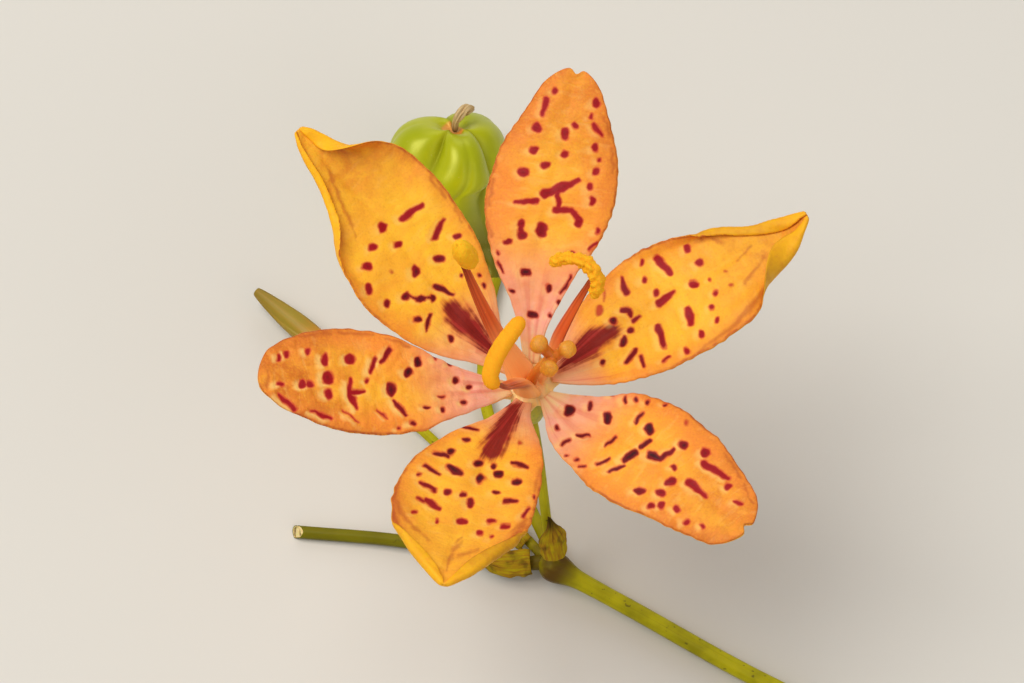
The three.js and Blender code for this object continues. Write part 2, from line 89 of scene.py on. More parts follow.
# The tepals, near those of the part's source. azimuth is the way that one points, in degrees. The lists run in even
# steps from the foot of the claw to the tip. reach, sway and rise give the midrib: how far out, to the left and up
# it is. left and right are the half widths. cup is the angle by which the half blades turn up, and the curls are
# those by which their margins turn in further. rolls holds, for the left and then the right margin, the shares of
# the half width where this turn starts and ends. notch is the nick in the tip of an inner tepal.
# The rest is for the looks: rim_shade is how much painted shade, in olive, lies on the left and the right rolled
# margin, browning how brown the outer half is, pink_claw the share of the length in which the pink fades out, warmth
# what is added to the orange, dark_spots the share up to which the spots are dark, and puckered the height of the
# puckers round the spots, which also sets how strong the painted highlight on their lit side is.
CLAW_FOOT = 2.0
OUTER_LIFT = 0.35
INNER_LIFT = 0.5
OUTER_CUP = [30, 25, 20, 15, 20, 30]
INNER_CUP = [30, 20, 5, -8, -10, -8]
FLAT = [0, 0, 0, 0, 0, 0]
EVEN_ROLLS = [([0.4, 0.4], [0.85, 0.85]), ([0.4, 0.4], [0.85, 0.85])]
BLUNT_LENGTH = 0.1  # the share of an inner tepal's length in which its tip is rounded
LEAST_HALF_WIDTH = 0.35

TEPALS = {
    "outer_tepal_right": {
        "azimuth": 23.5,
        "reach": [CLAW_FOOT, 6.8, 11.8, 17.0, 22.2, 26.9],
        "sway": FLAT,
        "rise": [OUTER_LIFT, 3.6, 6.2, 8.6, 10.8, 13.0],
        "left": [0.8, 1.8, 3.7, 4.6, 5.1, 5.1, 4.7, 4.2, 2.8, 2.0, 0.6],
        "right": [0.8, 2.9, 5.0, 6.1, 6.7, 6.8, 6.7, 6.2, 5.9, 4.3, 0.5],
        "cup": OUTER_CUP,
        "curl_left": [0, 0, 0, 0, 0, 20, 60, 150, 165, 165, 120],
        "curl_right": [0, 0, 0, 0, 0, 0, 0, 0, 70, 165, 165],
        "rolls": [
            ([0.7] * 8 + [0.56, 0.35, 0.3], [0.88] * 8 + [0.76, 0.55, 0.5]),
            ([0.5, 0.5], [0.72, 0.72]),
        ],
        "rim_shade": (0.3, 0.35),
        "browning": 0.6,
        "pink_claw": 0.16,
        "warmth": 0.1,
        "dark_spots": 0.35,
        "puckered": 0.03,
    },
    "outer_tepal_left": {
        "azimuth": 137.3,
        "reach": [CLAW_FOOT, 7.2, 12.6, 18.2, 23.6, 28.4],
        "sway": [0, 0.6, 0.4, 0, 0, 0],
        "rise": [OUTER_LIFT, 3.6, 6.2, 8.6, 10.8, 13.2],
        "left": [0.8, 1.9, 4.4, 6.1, 6.8, 7.0, 6.7, 4.95, 2.9, 1.75, 0.5],
        "right": [0.8, 1.6, 3.7, 5.0, 5.9, 6.3, 6.4, 6.1, 4.9, 3.05, 0.5],
        "cup": OUTER_CUP,
        "curl_left": [0, 0, 0, 0, 0, 20, 60, 130, 150, 130, 80],
        "curl_right": [0, 0, 0, 0, 0, 0, 0, 0, 35, 170, 170],
        "rolls": [([0.71, 0.71], [0.9, 0.9]), ([0.4, 0.4], [0.66, 0.66])],
        "browning": 0.7,
        "pink_claw": 0.26,
        "warmth": -0.1,
        "dark_spots": 0.42,
        "puckered": 0.03,
    },
    "outer_tepal_front": {
        "azimuth": 253,
        "reach": [CLAW_FOOT, 6.8, 11.6, 16.4, 21.3, 26.2],
        "sway": [0, -0.5, -0.8, -0.8, -0.5, 0.2],
        "rise": [OUTER_LIFT, 3.8, 6.6, 9.2, 11.6, 14.2],
        "left": [0.8, 1.6, 3.3, 4.7, 5.4, 5.8, 6.0, 6.1, 5.8, 4.6, 0.5],
        "right": [0.8, 1.2, 2.2, 3.8, 5.1, 6.0, 6.3, 6.3, 5.6, 4.7, 0.5],
        "cup": [30, 25, 15, 10, 20, 30],
        "curl_left": [0, 0, 0, 0, 0, 0, 40, 140, 160, 160, 160],
        "curl_right": [0, 0, 0, 0, 0, 0, 0, 70, 160, 160, 165],
        "rolls": [
            ([1] * 6 + [0.95, 0.88, 0.76, 0.56, 0.5], [1.2] * 6 + [1.15, 1.08, 0.96, 0.76, 0.7]),
            ([1] * 8 + [0.93, 0.56, 0.4], [1.2] * 8 + [1.13, 0.78, 0.65]),
        ],
        "rim_shade": (0.55, 0.2),
        "browning": 0.35,
        "pink_claw": 0.26,
        "warmth": 0.15,
        "dark_spots": 0.6,
        "puckered": 0.03,
    },
    "inner_tepal_back": {
        "azimuth": 80,
        "reach": [CLAW_FOOT, 6.6, 11.3, 16.2, 21.1, 25.9],
        "sway": [0.2, 0.8, 1.0, 0.7, 0.4, 0.3],
        "rise": [INNER_LIFT, 4.0, 6.8, 9.2, 11.3, 13.2],
        "left": [0.7, 1.2, 2.2, 3.8, 5.0, 5.75, 5.75, 5.3, 4.2, 3.0, 1.8],
        "right": [0.7, 1.2, 2.4, 3.7, 5.0, 5.7, 5.85, 5.4, 4.3, 2.9, 1.7],
        "cup": INNER_CUP,
        "notch": {"at": -0.1, "width": 0.4, "depth": 0.55},
        "browning": 0.5,
        "pink_claw": 0.4,
        "warmth": 0.0,
        "dark_spots": 0.35,
        "puckered": 0.03,
    },
    "inner_tepal_left": {
        "azimuth": 195.2,
        "reach": [CLAW_FOOT, 6.6, 11.0, 15.5, 20.0, 24.4],
        "sway": [0.1, 0.5, 0.3, -0.2, -0.7, -0.8],
        "rise": [INNER_LIFT, 4.2, 7.0, 9.2, 11.2, 12.8],
        "left": [0.7, 1.6, 2.6, 3.7, 4.75, 5.1, 5.1, 4.85, 4.1, 2.8, 1.4],
        "right": [0.7, 1.2, 2.1, 3.0, 4.35, 5.3, 5.7, 5.4, 4.8, 3.6, 1.9],
        "cup": INNER_CUP,
        "notch": {"at": 0, "width": 0.4, "depth": 0},
        "browning": 1.0,
        "pink_claw": 0.4,
        "warmth": 0.0,
        "dark_spots": 0.5,
        "puckered": 0.07,
    },
    "inner_tepal_right": {
        "azimuth": 315.5,
        "reach": [CLAW_FOOT, 6.8, 11.5, 16.3, 21.1, 25.9],
        "sway": [0, -0.4, 0.3, 0.7, 0.7, 0.6],
        "rise": [INNER_LIFT, 3.2, 4.9, 6.3, 7.4, 8.4],
        "left": [0.7, 1.6, 3.0, 4.4, 5.3, 5.6, 5.4, 4.9, 4.2, 3.2, 1.8],
        "right": [0.7, 1.9, 3.7, 4.8, 5.5, 5.6, 5.2, 4.6, 4.1, 3.3, 2.2],
        "cup": INNER_CUP,
        "notch": {"at": 0.2, "width": 0.4, "depth": 0.6},
        "browning": 0.6,
        "pink_claw": 0.33,
        "warmth": 0.12,
        "dark_spots": 0.6,
        "puckered": 0.045,
    },
}

# Spots, in pixels of the photograph. round holds (x, y, width, height), long holds (x, y, to x, to y, width, end
# width), faint holds pale round ones, and streaks holds brown lines, given as the long ones are: some are brown marks
# of the tepal, and those along the folds of the rolled margins are painted shade.
SPOTS = {
    "outer_tepal_left": {
        "round": [
            (382, 228, 8, 11), (397, 245, 10, 8), (372, 248, 9, 7), (366, 267, 12, 8), (368, 290, 7, 12),
            (415, 272, 9, 12), (439, 259, 13, 8), (457, 236, 9, 6), (405, 297, 9, 8), (420, 299, 11, 7),
            (416, 320, 10, 6), (432, 299, 6, 7), (386, 304, 7, 9), (450, 339, 6, 8), (479, 275, 5, 4),
            (484, 286, 4, 6), (461, 276, 4, 4),
        ],
        "long": [
            (402, 219, 422, 205, 9, 5), (434, 238, 443, 220, 8, 4), (434, 286, 452, 295, 7, 4),
            (429, 315, 425, 332, 5, 3), (405, 297, 432, 299, 3, 3),
        ],
        "faint": [(390, 272, 4, 4)],
        "streaks": [
            (430, 177, 437, 189, 4, 3), (440, 189, 446, 198, 4, 4), (326, 166, 343, 208, 3, 5),
            (343, 208, 352, 226, 5, 4), (352, 226, 355, 238, 2, 1), (455, 208, 462, 222, 2, 2),
        ],
    },
    "inner_tepal_back": {
        "round": [
            (555, 91, 7, 7), (537, 128, 9, 10), (534, 150, 10, 8), (524, 172, 13, 9), (546, 165, 11, 8),
            (565, 134, 9, 14), (575, 126, 6, 7), (565, 154, 8, 7), (596, 103, 8, 11), (591, 117, 4, 6),
            (595, 148, 6, 9), (599, 160, 4, 5), (596, 172, 7, 9), (590, 187, 6, 9), (592, 201, 7, 9),
            (558, 210, 12, 8), (579, 222, 9, 11), (521, 224, 8, 9), (522, 235, 11, 9),
            (542, 230, 12, 17), (508, 242, 11, 6), (498, 252, 3, 6), (526, 272, 12, 9), (549, 288, 6, 9),
            (533, 314, 13, 7), (551, 315, 4, 5), (598, 231, 5, 6), (560, 303, 4, 6), (512, 291, 7, 4),
            (572, 253, 8, 3),
        ],
        "long": [
            (547, 99, 543, 115, 6, 5), (593, 125, 602, 136, 5, 4), (545, 194, 578, 181, 11, 6),
            (558, 190, 559, 206, 6, 6), (516, 202, 537, 201, 5, 7), (498, 262, 503, 272, 3, 3),
            (558, 210, 571, 210, 7, 7), (571, 210, 580, 222, 6, 6), (521, 224, 522, 235, 5, 6),
            (571, 275, 569, 283, 3, 3), (569, 283, 561, 292, 3, 3), (596, 243, 590, 250, 4, 3),
        ],
        "faint": [],
        "streaks": [
            (493, 180, 489, 205, 3, 4), (497, 160, 494, 172, 3, 2), (604, 118, 610, 135, 3, 3),
            (612, 150, 613, 172, 2, 3), (488, 222, 492, 236, 3, 3),
        ],
    },
    "outer_tepal_right": {
        "round": [
            (688, 249, 7, 9), (700, 263, 9, 8), (642, 262, 4, 8), (645, 280, 5, 9), (657, 293, 6, 8),
            (695, 285, 10, 8), (711, 280, 3, 4), (716, 294, 5, 6), (713, 308, 5, 6), (718, 321, 5, 8),
            (702, 335, 6, 10), (688, 352, 5, 8), (632, 331, 7, 7), (624, 343, 7, 9), (614, 321, 8, 8),
            (604, 363, 6, 7),
        ],
        "long": [
            (657, 258, 671, 273, 9, 7), (660, 304, 675, 292, 9, 4), (659, 327, 665, 347, 7, 7),
            (637, 351, 628, 363, 5, 6), (642, 357, 645, 367, 5, 4), (623, 310, 630, 311, 5, 6),
            (630, 311, 632, 317, 6, 4), (689, 310, 692, 324, 8, 8), (634, 322, 641, 317, 5, 3),
            (626, 337, 624, 343, 4, 7), (664, 362, 671, 358, 3, 3), (622, 278, 627, 293, 4, 8),
        ],
        "faint": [(600, 310, 9, 14), (605, 296, 3, 14), (726, 272, 5, 4), (732, 286, 5, 5)],
        "streaks": [
            (640, 243, 672, 234, 2, 3), (672, 234, 700, 231, 3, 3), (766, 292, 735, 326, 5, 6),
            (735, 326, 700, 352, 5, 2), (722, 243, 712, 238, 6, 3), (765, 258, 745, 285, 3, 3),
            (752, 246, 738, 262, 2, 2),
        ],
    },
    "inner_tepal_left": {
        "round": [
            (278, 359, 4, 7), (286, 356, 4, 8), (307, 353, 4, 8), (324, 361, 7, 14), (349, 360, 11, 12),
            (407, 373, 9, 11), (417, 362, 7, 11), (435, 358, 3, 6), (449, 364, 5, 5), (454, 381, 7, 8),
            (468, 388, 8, 5), (366, 382, 4, 6), (327, 379, 10, 14), (302, 385, 8, 8), (309, 385, 6, 7),
            (280, 385, 9, 5), (328, 395, 9, 10), (390, 390, 9, 15), (440, 398, 8, 3), (426, 408, 8, 4),
            (442, 411, 5, 5), (463, 404, 7, 5), (412, 424, 7, 4), (398, 429, 4, 3),
        ],
        "long": [
            (374, 360, 369, 374, 5, 4), (389, 350, 381, 363, 6, 5), (349, 381, 349, 395, 5, 6),
            (349, 395, 356, 409, 6, 4), (350, 394, 363, 392, 5, 4), (393, 402, 406, 416, 5, 4),
            (278, 396, 295, 410, 4, 5), (311, 412, 329, 419, 3, 5), (343, 412, 358, 423, 1.5, 1.5),
            (377, 411, 387, 419, 1.5, 1.5),
        ],
        "faint": [],
        "streaks": [
            (300, 338, 330, 333, 3, 3), (338, 334, 372, 336, 4, 3), (385, 340, 408, 347, 3, 4),
            (282, 400, 300, 415, 3, 2), (300, 421, 320, 430, 2, 3), (268, 372, 266, 388, 3, 3),
            (345, 434, 380, 435, 2, 2),
        ],
    },
    "outer_tepal_front": {
        "round": [
            (478, 465, 10, 8), (480, 480, 10, 10), (494, 468, 6, 6), (498, 476, 10, 7), (466, 441, 10, 5),
            (450, 453, 10, 8), (419, 476, 5, 3), (447, 494, 7, 7), (463, 496, 8, 5), (470, 505, 8, 12),
            (414, 514, 6, 3), (437, 523, 5, 4), (462, 523, 12, 7), (491, 523, 11, 5), (505, 528, 11, 4),
            (480, 535, 7, 5), (491, 539, 5, 3), (517, 484, 12, 7), (496, 494, 10, 5), (510, 503, 17, 6),
            (534, 498, 3, 5),
        ],
        "long": [
            (463, 428, 477, 432, 4, 4), (433, 454, 448, 458, 4, 5), (424, 467, 439, 476, 5, 4),
            (448, 469, 461, 475, 8, 5), (420, 484, 434, 492, 5, 5), (417, 500, 424, 503, 3, 3),
            (426, 502, 438, 510, 6, 5), (512, 465, 528, 469, 4, 4), (529, 510, 523, 518, 3, 4),
        ],
        "faint": [(520, 445, 6, 6)],
        "streaks": [
            (527, 520, 512, 534, 3, 2), (478, 552, 458, 558, 2, 4), (452, 556, 446, 572, 6, 3),
            (462, 545, 452, 552, 2, 5), (398, 482, 394, 500, 4, 6), (394, 500, 404, 520, 6, 4),
            (404, 520, 428, 542, 4, 3), (540, 470, 535, 492, 3, 4), (456, 545, 462, 538, 3, 1),
        ],
    },
    "inner_tepal_right": {
        "round": [
            (570, 412, 12, 12), (591, 407, 5, 9), (608, 419, 8, 14), (584, 437, 15, 4), (557, 430, 5, 5),
            (567, 457, 6, 3), (577, 461, 6, 3), (582, 468, 10, 3), (650, 430, 10, 14), (684, 446, 10, 9),
            (706, 454, 10, 9), (728, 488, 8, 6), (738, 504, 9, 4), (674, 469, 6, 6), (671, 483, 14, 9),
            (661, 494, 10, 7), (640, 492, 14, 7), (652, 507, 9, 7), (662, 506, 8, 8), (677, 510, 6, 7),
            (687, 523, 7, 6), (703, 527, 5, 4), (585, 394, 4, 3), (612, 396, 5, 3), (626, 401, 4, 9),
            (636, 401, 4, 7), (648, 403, 5, 5), (666, 405, 5, 3),
        ],
        "long": [
            (562, 446, 570, 441, 4, 4), (597, 466, 609, 461, 3, 4), (610, 473, 624, 467, 4, 4),
            (606, 447, 616, 439, 3, 4), (636, 424, 643, 414, 4, 4), (641, 448, 650, 442, 6, 6),
            (624, 461, 636, 454, 6, 8), (650, 456, 660, 460, 9, 9), (660, 460, 674, 451, 8, 5),
            (704, 465, 729, 480, 9, 5), (690, 484, 707, 498, 11, 3),
        ],
        "faint": [(687, 424, 5, 7)],
        "streaks": [
            (600, 498, 625, 510, 8, 5), (560, 460, 572, 476, 3, 3), (725, 455, 742, 480, 2, 3),
            (744, 486, 752, 505, 3, 2), (690, 415, 705, 430, 2, 2),
        ],
    },
}

SPOT_WOBBLE = 0.7  # of the spots' edges, in pixels
SLOW_WOBBLE_LENGTH = 14  # pixels
QUICK_WOBBLE_LENGTH = 7
QUICK_WOBBLE = 0.25  # of the slow one's height
LONG_SPOT_WAIST = 0.2  # by how much a long spot is thinner at its ends
PUCKER_SHIFT = (5, -2)  # pixels from the lit side of a pucker to its spot
FAR_FROM_SPOTS = 60.0  # pixels
FAR_FROM_OUTLINE = 1000.0
LEAST_RUN = 1e-9  # pixels squared, because a round spot is a line with no length
NO_FLAME = 9.0  # millimetres to the flame, on a tepal that has none

# The dark flames at the feet of the outer tepals, as outlines in pixels of the photograph
FLAMES = {
    "outer_tepal_left": [
        (496, 362), (489, 356), (477, 347), (465, 338), (454, 331), (445, 320), (442, 310), (445, 303),
        (455, 301), (465, 308), (476, 319), (484, 331), (496, 347),
    ],
    "outer_tepal_right": [
        (560, 370), (570, 350), (579, 340), (591, 329), (603, 328), (614, 325), (622, 330), (616, 340),
        (606, 346), (598, 355), (584, 362), (572, 366),
    ],
    "outer_tepal_front": [
        (507, 406), (498, 421), (488, 437), (481, 450), (483, 459), (492, 461), (500, 457), (511, 439),
        (518, 422), (521, 404),
    ],
}


def linear(colour):
    """A colour that is written as #RRGGBB, in the linear values that Blender uses."""
    parts = [int(colour[i : i + 2], 16) / 255 for i in (1, 3, 5)]
    return tuple(part / 12.92 if part <= 0.04045 else ((part + 0.055) / 1.055) ** 2.4 for part in parts)


def colour_property(name, colour, description):
    return bpy.props.FloatVectorProperty(
        name=name, description=description, subtype="COLOR", size=3, min=0, max=1, default=linear(colour)
    )


def size_property(name, least, usual, most, description):
    return bpy.props.FloatProperty(
        name=name, description=description, default=usual * MM, min=least * MM, max=most * MM, unit="LENGTH",
        precision=5,
    )


class LilyColours(bpy.types.PropertyGroup):
    """The colours of the flower."""

    petal: colour_property("Petal", "#FFC02E", "Middle of the tepals")
    petal_orange: colour_property("Petal orange", "#F49034", "Margins and outer parts of the tepals")
    petal_brown: colour_property("Petal brown", "#CE6C1E", "Hood of the tepals")
    petal_pink: colour_property("Petal pink", "#FBB4A2", "Claws of the tepals")
    petal_under: colour_property("Petal underside", "#FFB918", "Outer side, seen on the rolled margins")
    # Painted shade: olive on the rolled margins, strongest where they turn away from the light.
    rim_painted_shade: colour_property("Rim shade", "#8C5A04", "Shaded parts of the rolled margins")
    vein: colour_property("Vein", "#D8453C", "Veins of the claws")
    spot: colour_property("Spot", "#A40A15", "Spots")
    spot_dark: colour_property("Dark spot", "#270510", "Spots near the claws")
    spot_rim: colour_property("Spot rim", "#D2402A", "Soft rim of the spots")
    flame: colour_property("Flame", "#860F18", "Flames at the feet of the outer tepals")
    flame_light: colour_property("Flame streak", "#BE3A34", "Lighter streaks of the flames")
    # Painted highlight on the lit side of the puckers and along the wrinkles; also the pale top of the receptacle.
    petal_pale: colour_property("Petal pale", "#FFD27A", "Puckers round the spots")
    petal_edge: colour_property("Petal edge", "#B4501E", "Streaks and the thin edge of the tepals")
    filament: colour_property("Filament", "#E0622A", "Filaments")
    filament_pale: colour_property("Filament foot", "#FFB86C", "Broad feet of the filaments")
    # filament_dark also gives painted shade in the grooves and on the outer side of the filaments.
    filament_dark: colour_property("Filament groove", "#8E2A12", "Grooves of the filaments")
    anther: colour_property("Anther", "#FFBE20", "Anthers and pollen")
    anther_dark: colour_property("Anther shade", "#F49812", "Furrows and clumps of the anthers")
    stigma: colour_property("Stigma", "#DE962C", "Arms of the style")
    green: colour_property("Green", "#BCB20A", "Stem and pedicels")
    # green_dark also gives the painted shade down the capsule's grooves.
    green_dark: colour_property("Dark green", "#5E5802", "Shaded and ribbed parts of the stem")
    joint: colour_property("Joint", "#5E430A", "Brown of the stem's joint")
    capsule: colour_property("Capsule", "#A0A800", "Seed capsule")
    capsule_ring: colour_property("Capsule ring", "#D98E3A", "Ring round the withered flower")
    capsule_yellow: colour_property("Capsule yellow", "#BABC00", "Raised parts of the seed capsule")
    capsule_dark: colour_property("Capsule foot", "#5A5400", "Foot of the seed capsule")
    dry: colour_property("Dry", "#CDB07E", "Withered flower")
    bract: colour_property("Bract", "#A07418", "Papery bracts")
    bract_dark: colour_property("Dark bract", "#3C2A14", "Dried tips of the bracts")
    pith: colour_property("Pith", "#ECD094", "Cut end of the stub")
    floor: colour_property("Floor", "#D8D4CC", "Plain floor")


class LilySizes(bpy.types.PropertyGroup):
    """The sizes of the flower that can be changed."""

    petal_thickness: size_property("Petal thickness", 0.2, 0.45, 0.6, "Thickness of a tepal in its middle")
    bract_thickness: size_property("Bract thickness", 0.1, 0.25, 0.6, "Thickness of a papery bract")
    pollen_grain: size_property("Pollen grain", 0.05, 0.12, 0.3, "Diameter of a clump of pollen")


class Expression:
    """A number's socket in a Python expression. Each operation adds its Math node."""

    def __init__(self, material, socket):
        self.material = material
        self.socket = socket

    def math(self, operation, *values):
        return self.material.node("ShaderNodeMath", {"operation": operation}, dict(enumerate(values)))

    def __add__(self, other):
        return self.math("ADD", self, other)

    def __sub__(self, other):
        return self.math("SUBTRACT", self, other)

    def __rsub__(self, other):
        return self.math("SUBTRACT", other, self)

    def __mul__(self, other):
        return self.math("MULTIPLY", self, other)

    __radd__ = __add__
    __rmul__ = __mul__

    def at_most(self, limit):
        return self.math("MINIMUM", self, limit)

    def step(self, low, high):
        """0 where the value is low and 1 where it is high, and smooth between. low may be above high."""
        if low > high:
            return 1 - self.step(high, low)
        inputs = {"Value": self, "From Min": low, "From Max": high}
        return self.material.node("ShaderNodeMapRange", {"interpolation_type": "SMOOTHSTEP"}, inputs)


# The places of a Mix node's sockets for colours
MIX_FACTOR = 0
MIX_FIRST_COLOUR = 6
MIX_SECOND_COLOUR = 7
MIXED_COLOUR = 2


class Surface:
    """A material that is built node by node."""

    def __init__(self, name):
        self.material = bpy.data.materials.new(name)
        self.material.use_nodes = True
        self.tree = self.material.node_tree
        self.tree.nodes.clear()

    def node(self, kind, settings=None, inputs=None, output=0):
        """Adds a node, sets its settings and then its sockets, and gives one of its outputs."""
        made = self.tree.nodes.new(kind)
        for key, value in (settings or {}).items():
            setattr(made, key, value)
        for key, value in (inputs or {}).items():
            socket = made.inputs[key]
            if isinstance(value, Expression):
                self.tree.links.new(value.socket, socket)
            elif socket.type == "RGBA":
                socket.default_value = (*value[:3], 1)
            else:
                socket.default_value = value
        return None if output is None else Expression(self, made.outputs[output])

    def attribute(self, name):
        return self.node("ShaderNodeAttribute", {"attribute_name": name}, output="Fac")

    def place(self, scale):
        """Object coordinates in millimetres, times scale."""
        coordinates = self.node("ShaderNodeTexCoord", output="Object")
        return self.node("ShaderNodeMapping", None, {"Vector": coordinates, "Scale": [scale / MM] * 3})

    def sheet(self, across, lengthwise):
        """The piece's own UV map, stretched: x runs across or round it, y runs along it."""
        coordinates = self.node("ShaderNodeUVMap", {"uv_map": "Sheet"})
        return self.node("ShaderNodeMapping", None, {"Vector": coordinates, "Scale": (across, lengthwise, 1)})

    def noise(self, vector, detail=3, roughness=0.5, distortion=0):
        inputs = {"Vector": vector, "Scale": 1.0, "Detail": detail, "Roughness": roughness, "Distortion": distortion}
        return self.node("ShaderNodeTexNoise", None, inputs)

    def mix(self, factor, first, second):
        """first where factor is 0 and second where it is 1, as colours."""
        inputs = {MIX_FACTOR: factor, MIX_FIRST_COLOUR: first, MIX_SECOND_COLOUR: second}
        return self.node("ShaderNodeMix", {"data_type": "RGBA"}, inputs, output=MIXED_COLOUR)

    def bump(self, height, strength, distance, normal=None):
        """The surface's direction, tilted as height asks. distance is the depth that a height of 1 stands for."""
        inputs = {"Height": height, "Strength": strength, "Distance": distance * MM}
        if normal is not None:
            inputs["Normal"] = normal
        return self.node("ShaderNodeBump", None, inputs)

    def finish(self, colour, roughness, normal=None, constants=None):
        """Ends the material in a principled shader. constants are its sockets that don't vary."""
        inputs = {"Base Color": colour, "Roughness": roughness, **(constants or {})}
        if normal is not None:
            inputs["Normal"] = normal
        shader = self.node("ShaderNodeBsdfPrincipled", None, inputs)
        self.node("ShaderNodeOutputMaterial", None, {"Surface": shader}, output=None)
        return self.material


def along(values, share):
    """The values at shares of the length of a list of even steps, on a smooth curve through them."""
    values = np.asarray(values, float)
    last = len(values) - 1
    i = np.clip(np.floor(share * last).astype(int), 0, last - 1)
    t = share * last - i
    a, b, c, d = (values[np.clip(i + k, 0, last)] for k in (-1, 0, 1, 2))
    return b + 0.5 * t * (c - a + t * (2 * a - 5 * b + 4 * c - d + t * (3 * (b - c) + d - a)))


def smoothstep(value, low, high):
    t = np.clip((value - low) / (high - low), 0, 1)
    return t * t * (3 - 2 * t)


def unit(vectors):
    return vectors / np.linalg.norm(vectors, axis=-1, keepdims=True)


def dot(first, second):
    return (first * second).sum(axis=-1, keepdims=True)


WAVES = 7  # that cross each other in one field of ripples


def ripples(x, y, wavelength, seed):
    """A gentle uneven field between about -1 and 1, of waves that cross each other."""
    draw = random.Random(seed)
    total = np.zeros_like(x)
    for _ in range(WAVES):
        angle = draw.uniform(0, math.tau)
        pitch = math.tau / (wavelength * draw.uniform(0.7, 1.5))
        total += np.sin(pitch * (x * math.cos(angle) + y * math.sin(angle)) + draw.uniform(0, math.tau))
    return total / math.sqrt(WAVES)


PATH_STEPS = 30  # from one point of a path to the next
TANGENT_STEP = 0.01  # of a path's length


class Path:
    """A smooth line through points, run through by the share of its length."""

    def __init__(self, points):
        points = np.array(points, float)
        padded = np.vstack([2 * points[0] - points[1], points, 2 * points[-1] - points[-2]])
        samples = []
        for i in range(len(points) - 1):
            a, b, c, d = padded[i : i + 4]
            knots = np.cumsum([0, *(np.linalg.norm(q - p) ** 0.5 for p, q in ((a, b), (b, c), (c, d)))])
            t = np.linspace(knots[1], knots[2], PATH_STEPS, endpoint=False)[:, None]

            def between(p, q, low, high):
                return (p * (knots[high] - t) + q * (t - knots[low])) / (knots[high] - knots[low])

            first, second, third = between(a, b, 0, 1), between(b, c, 1, 2), between(c, d, 2, 3)
            samples.append(between(between(first, second, 0, 2), between(second, third, 1, 3), 1, 2))
        self.samples = np.vstack([*samples, points[-1:]])
        reach = np.cumsum([0, *np.linalg.norm(np.diff(self.samples, axis=0), axis=1)])
        self.length = reach[-1]
        self.shares = reach / reach[-1]

    def at(self, share):
        return np.stack([np.interp(share, self.shares, self.samples[:, k]) for k in range(3)], axis=-1)

    def tangent(self, share):
        return unit(self.at(np.minimum(share + TANGENT_STEP, 1)) - self.at(np.maximum(share - TANGENT_STEP, 0)))


def pixels(points):
    """Where points of the flower lie in the photograph."""
    away = points - CAMERA_PLACE
    depth = -(away @ VIEW_BACK)
    seen = np.stack([away @ VIEW_RIGHT, -(away @ VIEW_UP)], axis=-1) / depth[:, None]
    return IMAGE_MIDDLE + FOCAL_PIXELS * seen


def from_line(seen, start, end):
    """The distance of pixels from a line, and the share of the line where each is nearest."""
    start, end = np.array(start, float), np.array(end, float)
    run = end - start
    share = np.clip(((seen - start) @ run) / max(run @ run, LEAST_RUN), 0, 1)
    return np.linalg.norm(seen - start - share[:, None] * run, axis=1), share


def from_spots(seen, spots):
    """The distance of pixels from the nearest of spots, in millimetres, and below 0 inside them."""
    nearest = np.full(len(seen), FAR_FROM_SPOTS)
    for x, y, to_x, to_y, width, end_width in spots:
        distance, share = from_line(seen, (x, y), (to_x, to_y))
        drawn = min(1, math.hypot(to_x - x, to_y - y) / width)
        taper = 1 - LONG_SPOT_WAIST * drawn * (1 - np.sin(np.pi * share))
        nearest = np.minimum(nearest, distance - (width + (end_width - width) * share) / 2 * taper)
    return nearest * MM_PER_PIXEL


def wobbled(seen, seed):
    """Pixels moved a little to and fro, so that what is measured from them gets uneven edges."""
    x, y = seen[:, 0], seen[:, 1]

    def shift(seed):
        slow = ripples(x, y, SLOW_WOBBLE_LENGTH, seed)
        quick = ripples(x, y, QUICK_WOBBLE_LENGTH, seed + 2)
        return SPOT_WOBBLE * (slow + QUICK_WOBBLE * quick)

    return seen + np.stack([shift(seed), shift(seed + 1)], axis=-1)


def drawn_out(spots):
    """Round spots, given as (x, y, width, height), as long ones."""
    lines = []
    for x, y, width, height in spots:
        thick = min(width, height)
        run_x, run_y = (width - thick) / 2, (height - thick) / 2
        lines.append((x - run_x, y - run_y, x + run_x, y + run_y, thick, thick))
    return lines


def from_outline(seen, outline):
    """The distance of pixels from an outline, in millimetres, and below 0 inside it."""
    nearest = np.full(len(seen), FAR_FROM_OUTLINE)
    inside = np.zeros(len(seen), bool)
    for (x, y), (to_x, to_y) in zip(outline, outline[1:] + outline[:1]):
        nearest = np.minimum(nearest, from_line(seen, (x, y), (to_x, to_y))[0])
        crosses = (seen[:, 1] < y) != (seen[:, 1] < to_y)
        if y != to_y:
            inside ^= crosses & (seen[:, 0] < x + (seen[:, 1] - y) * (to_x - x) / (to_y - y))
    return np.where(inside, -nearest, nearest) * MM_PER_PIXEL


DOUBLES = 1e-7  # metres: vertices nearer to each other are one
DEGENERATE = 1e-8  # metres: shorter edges are dissolved


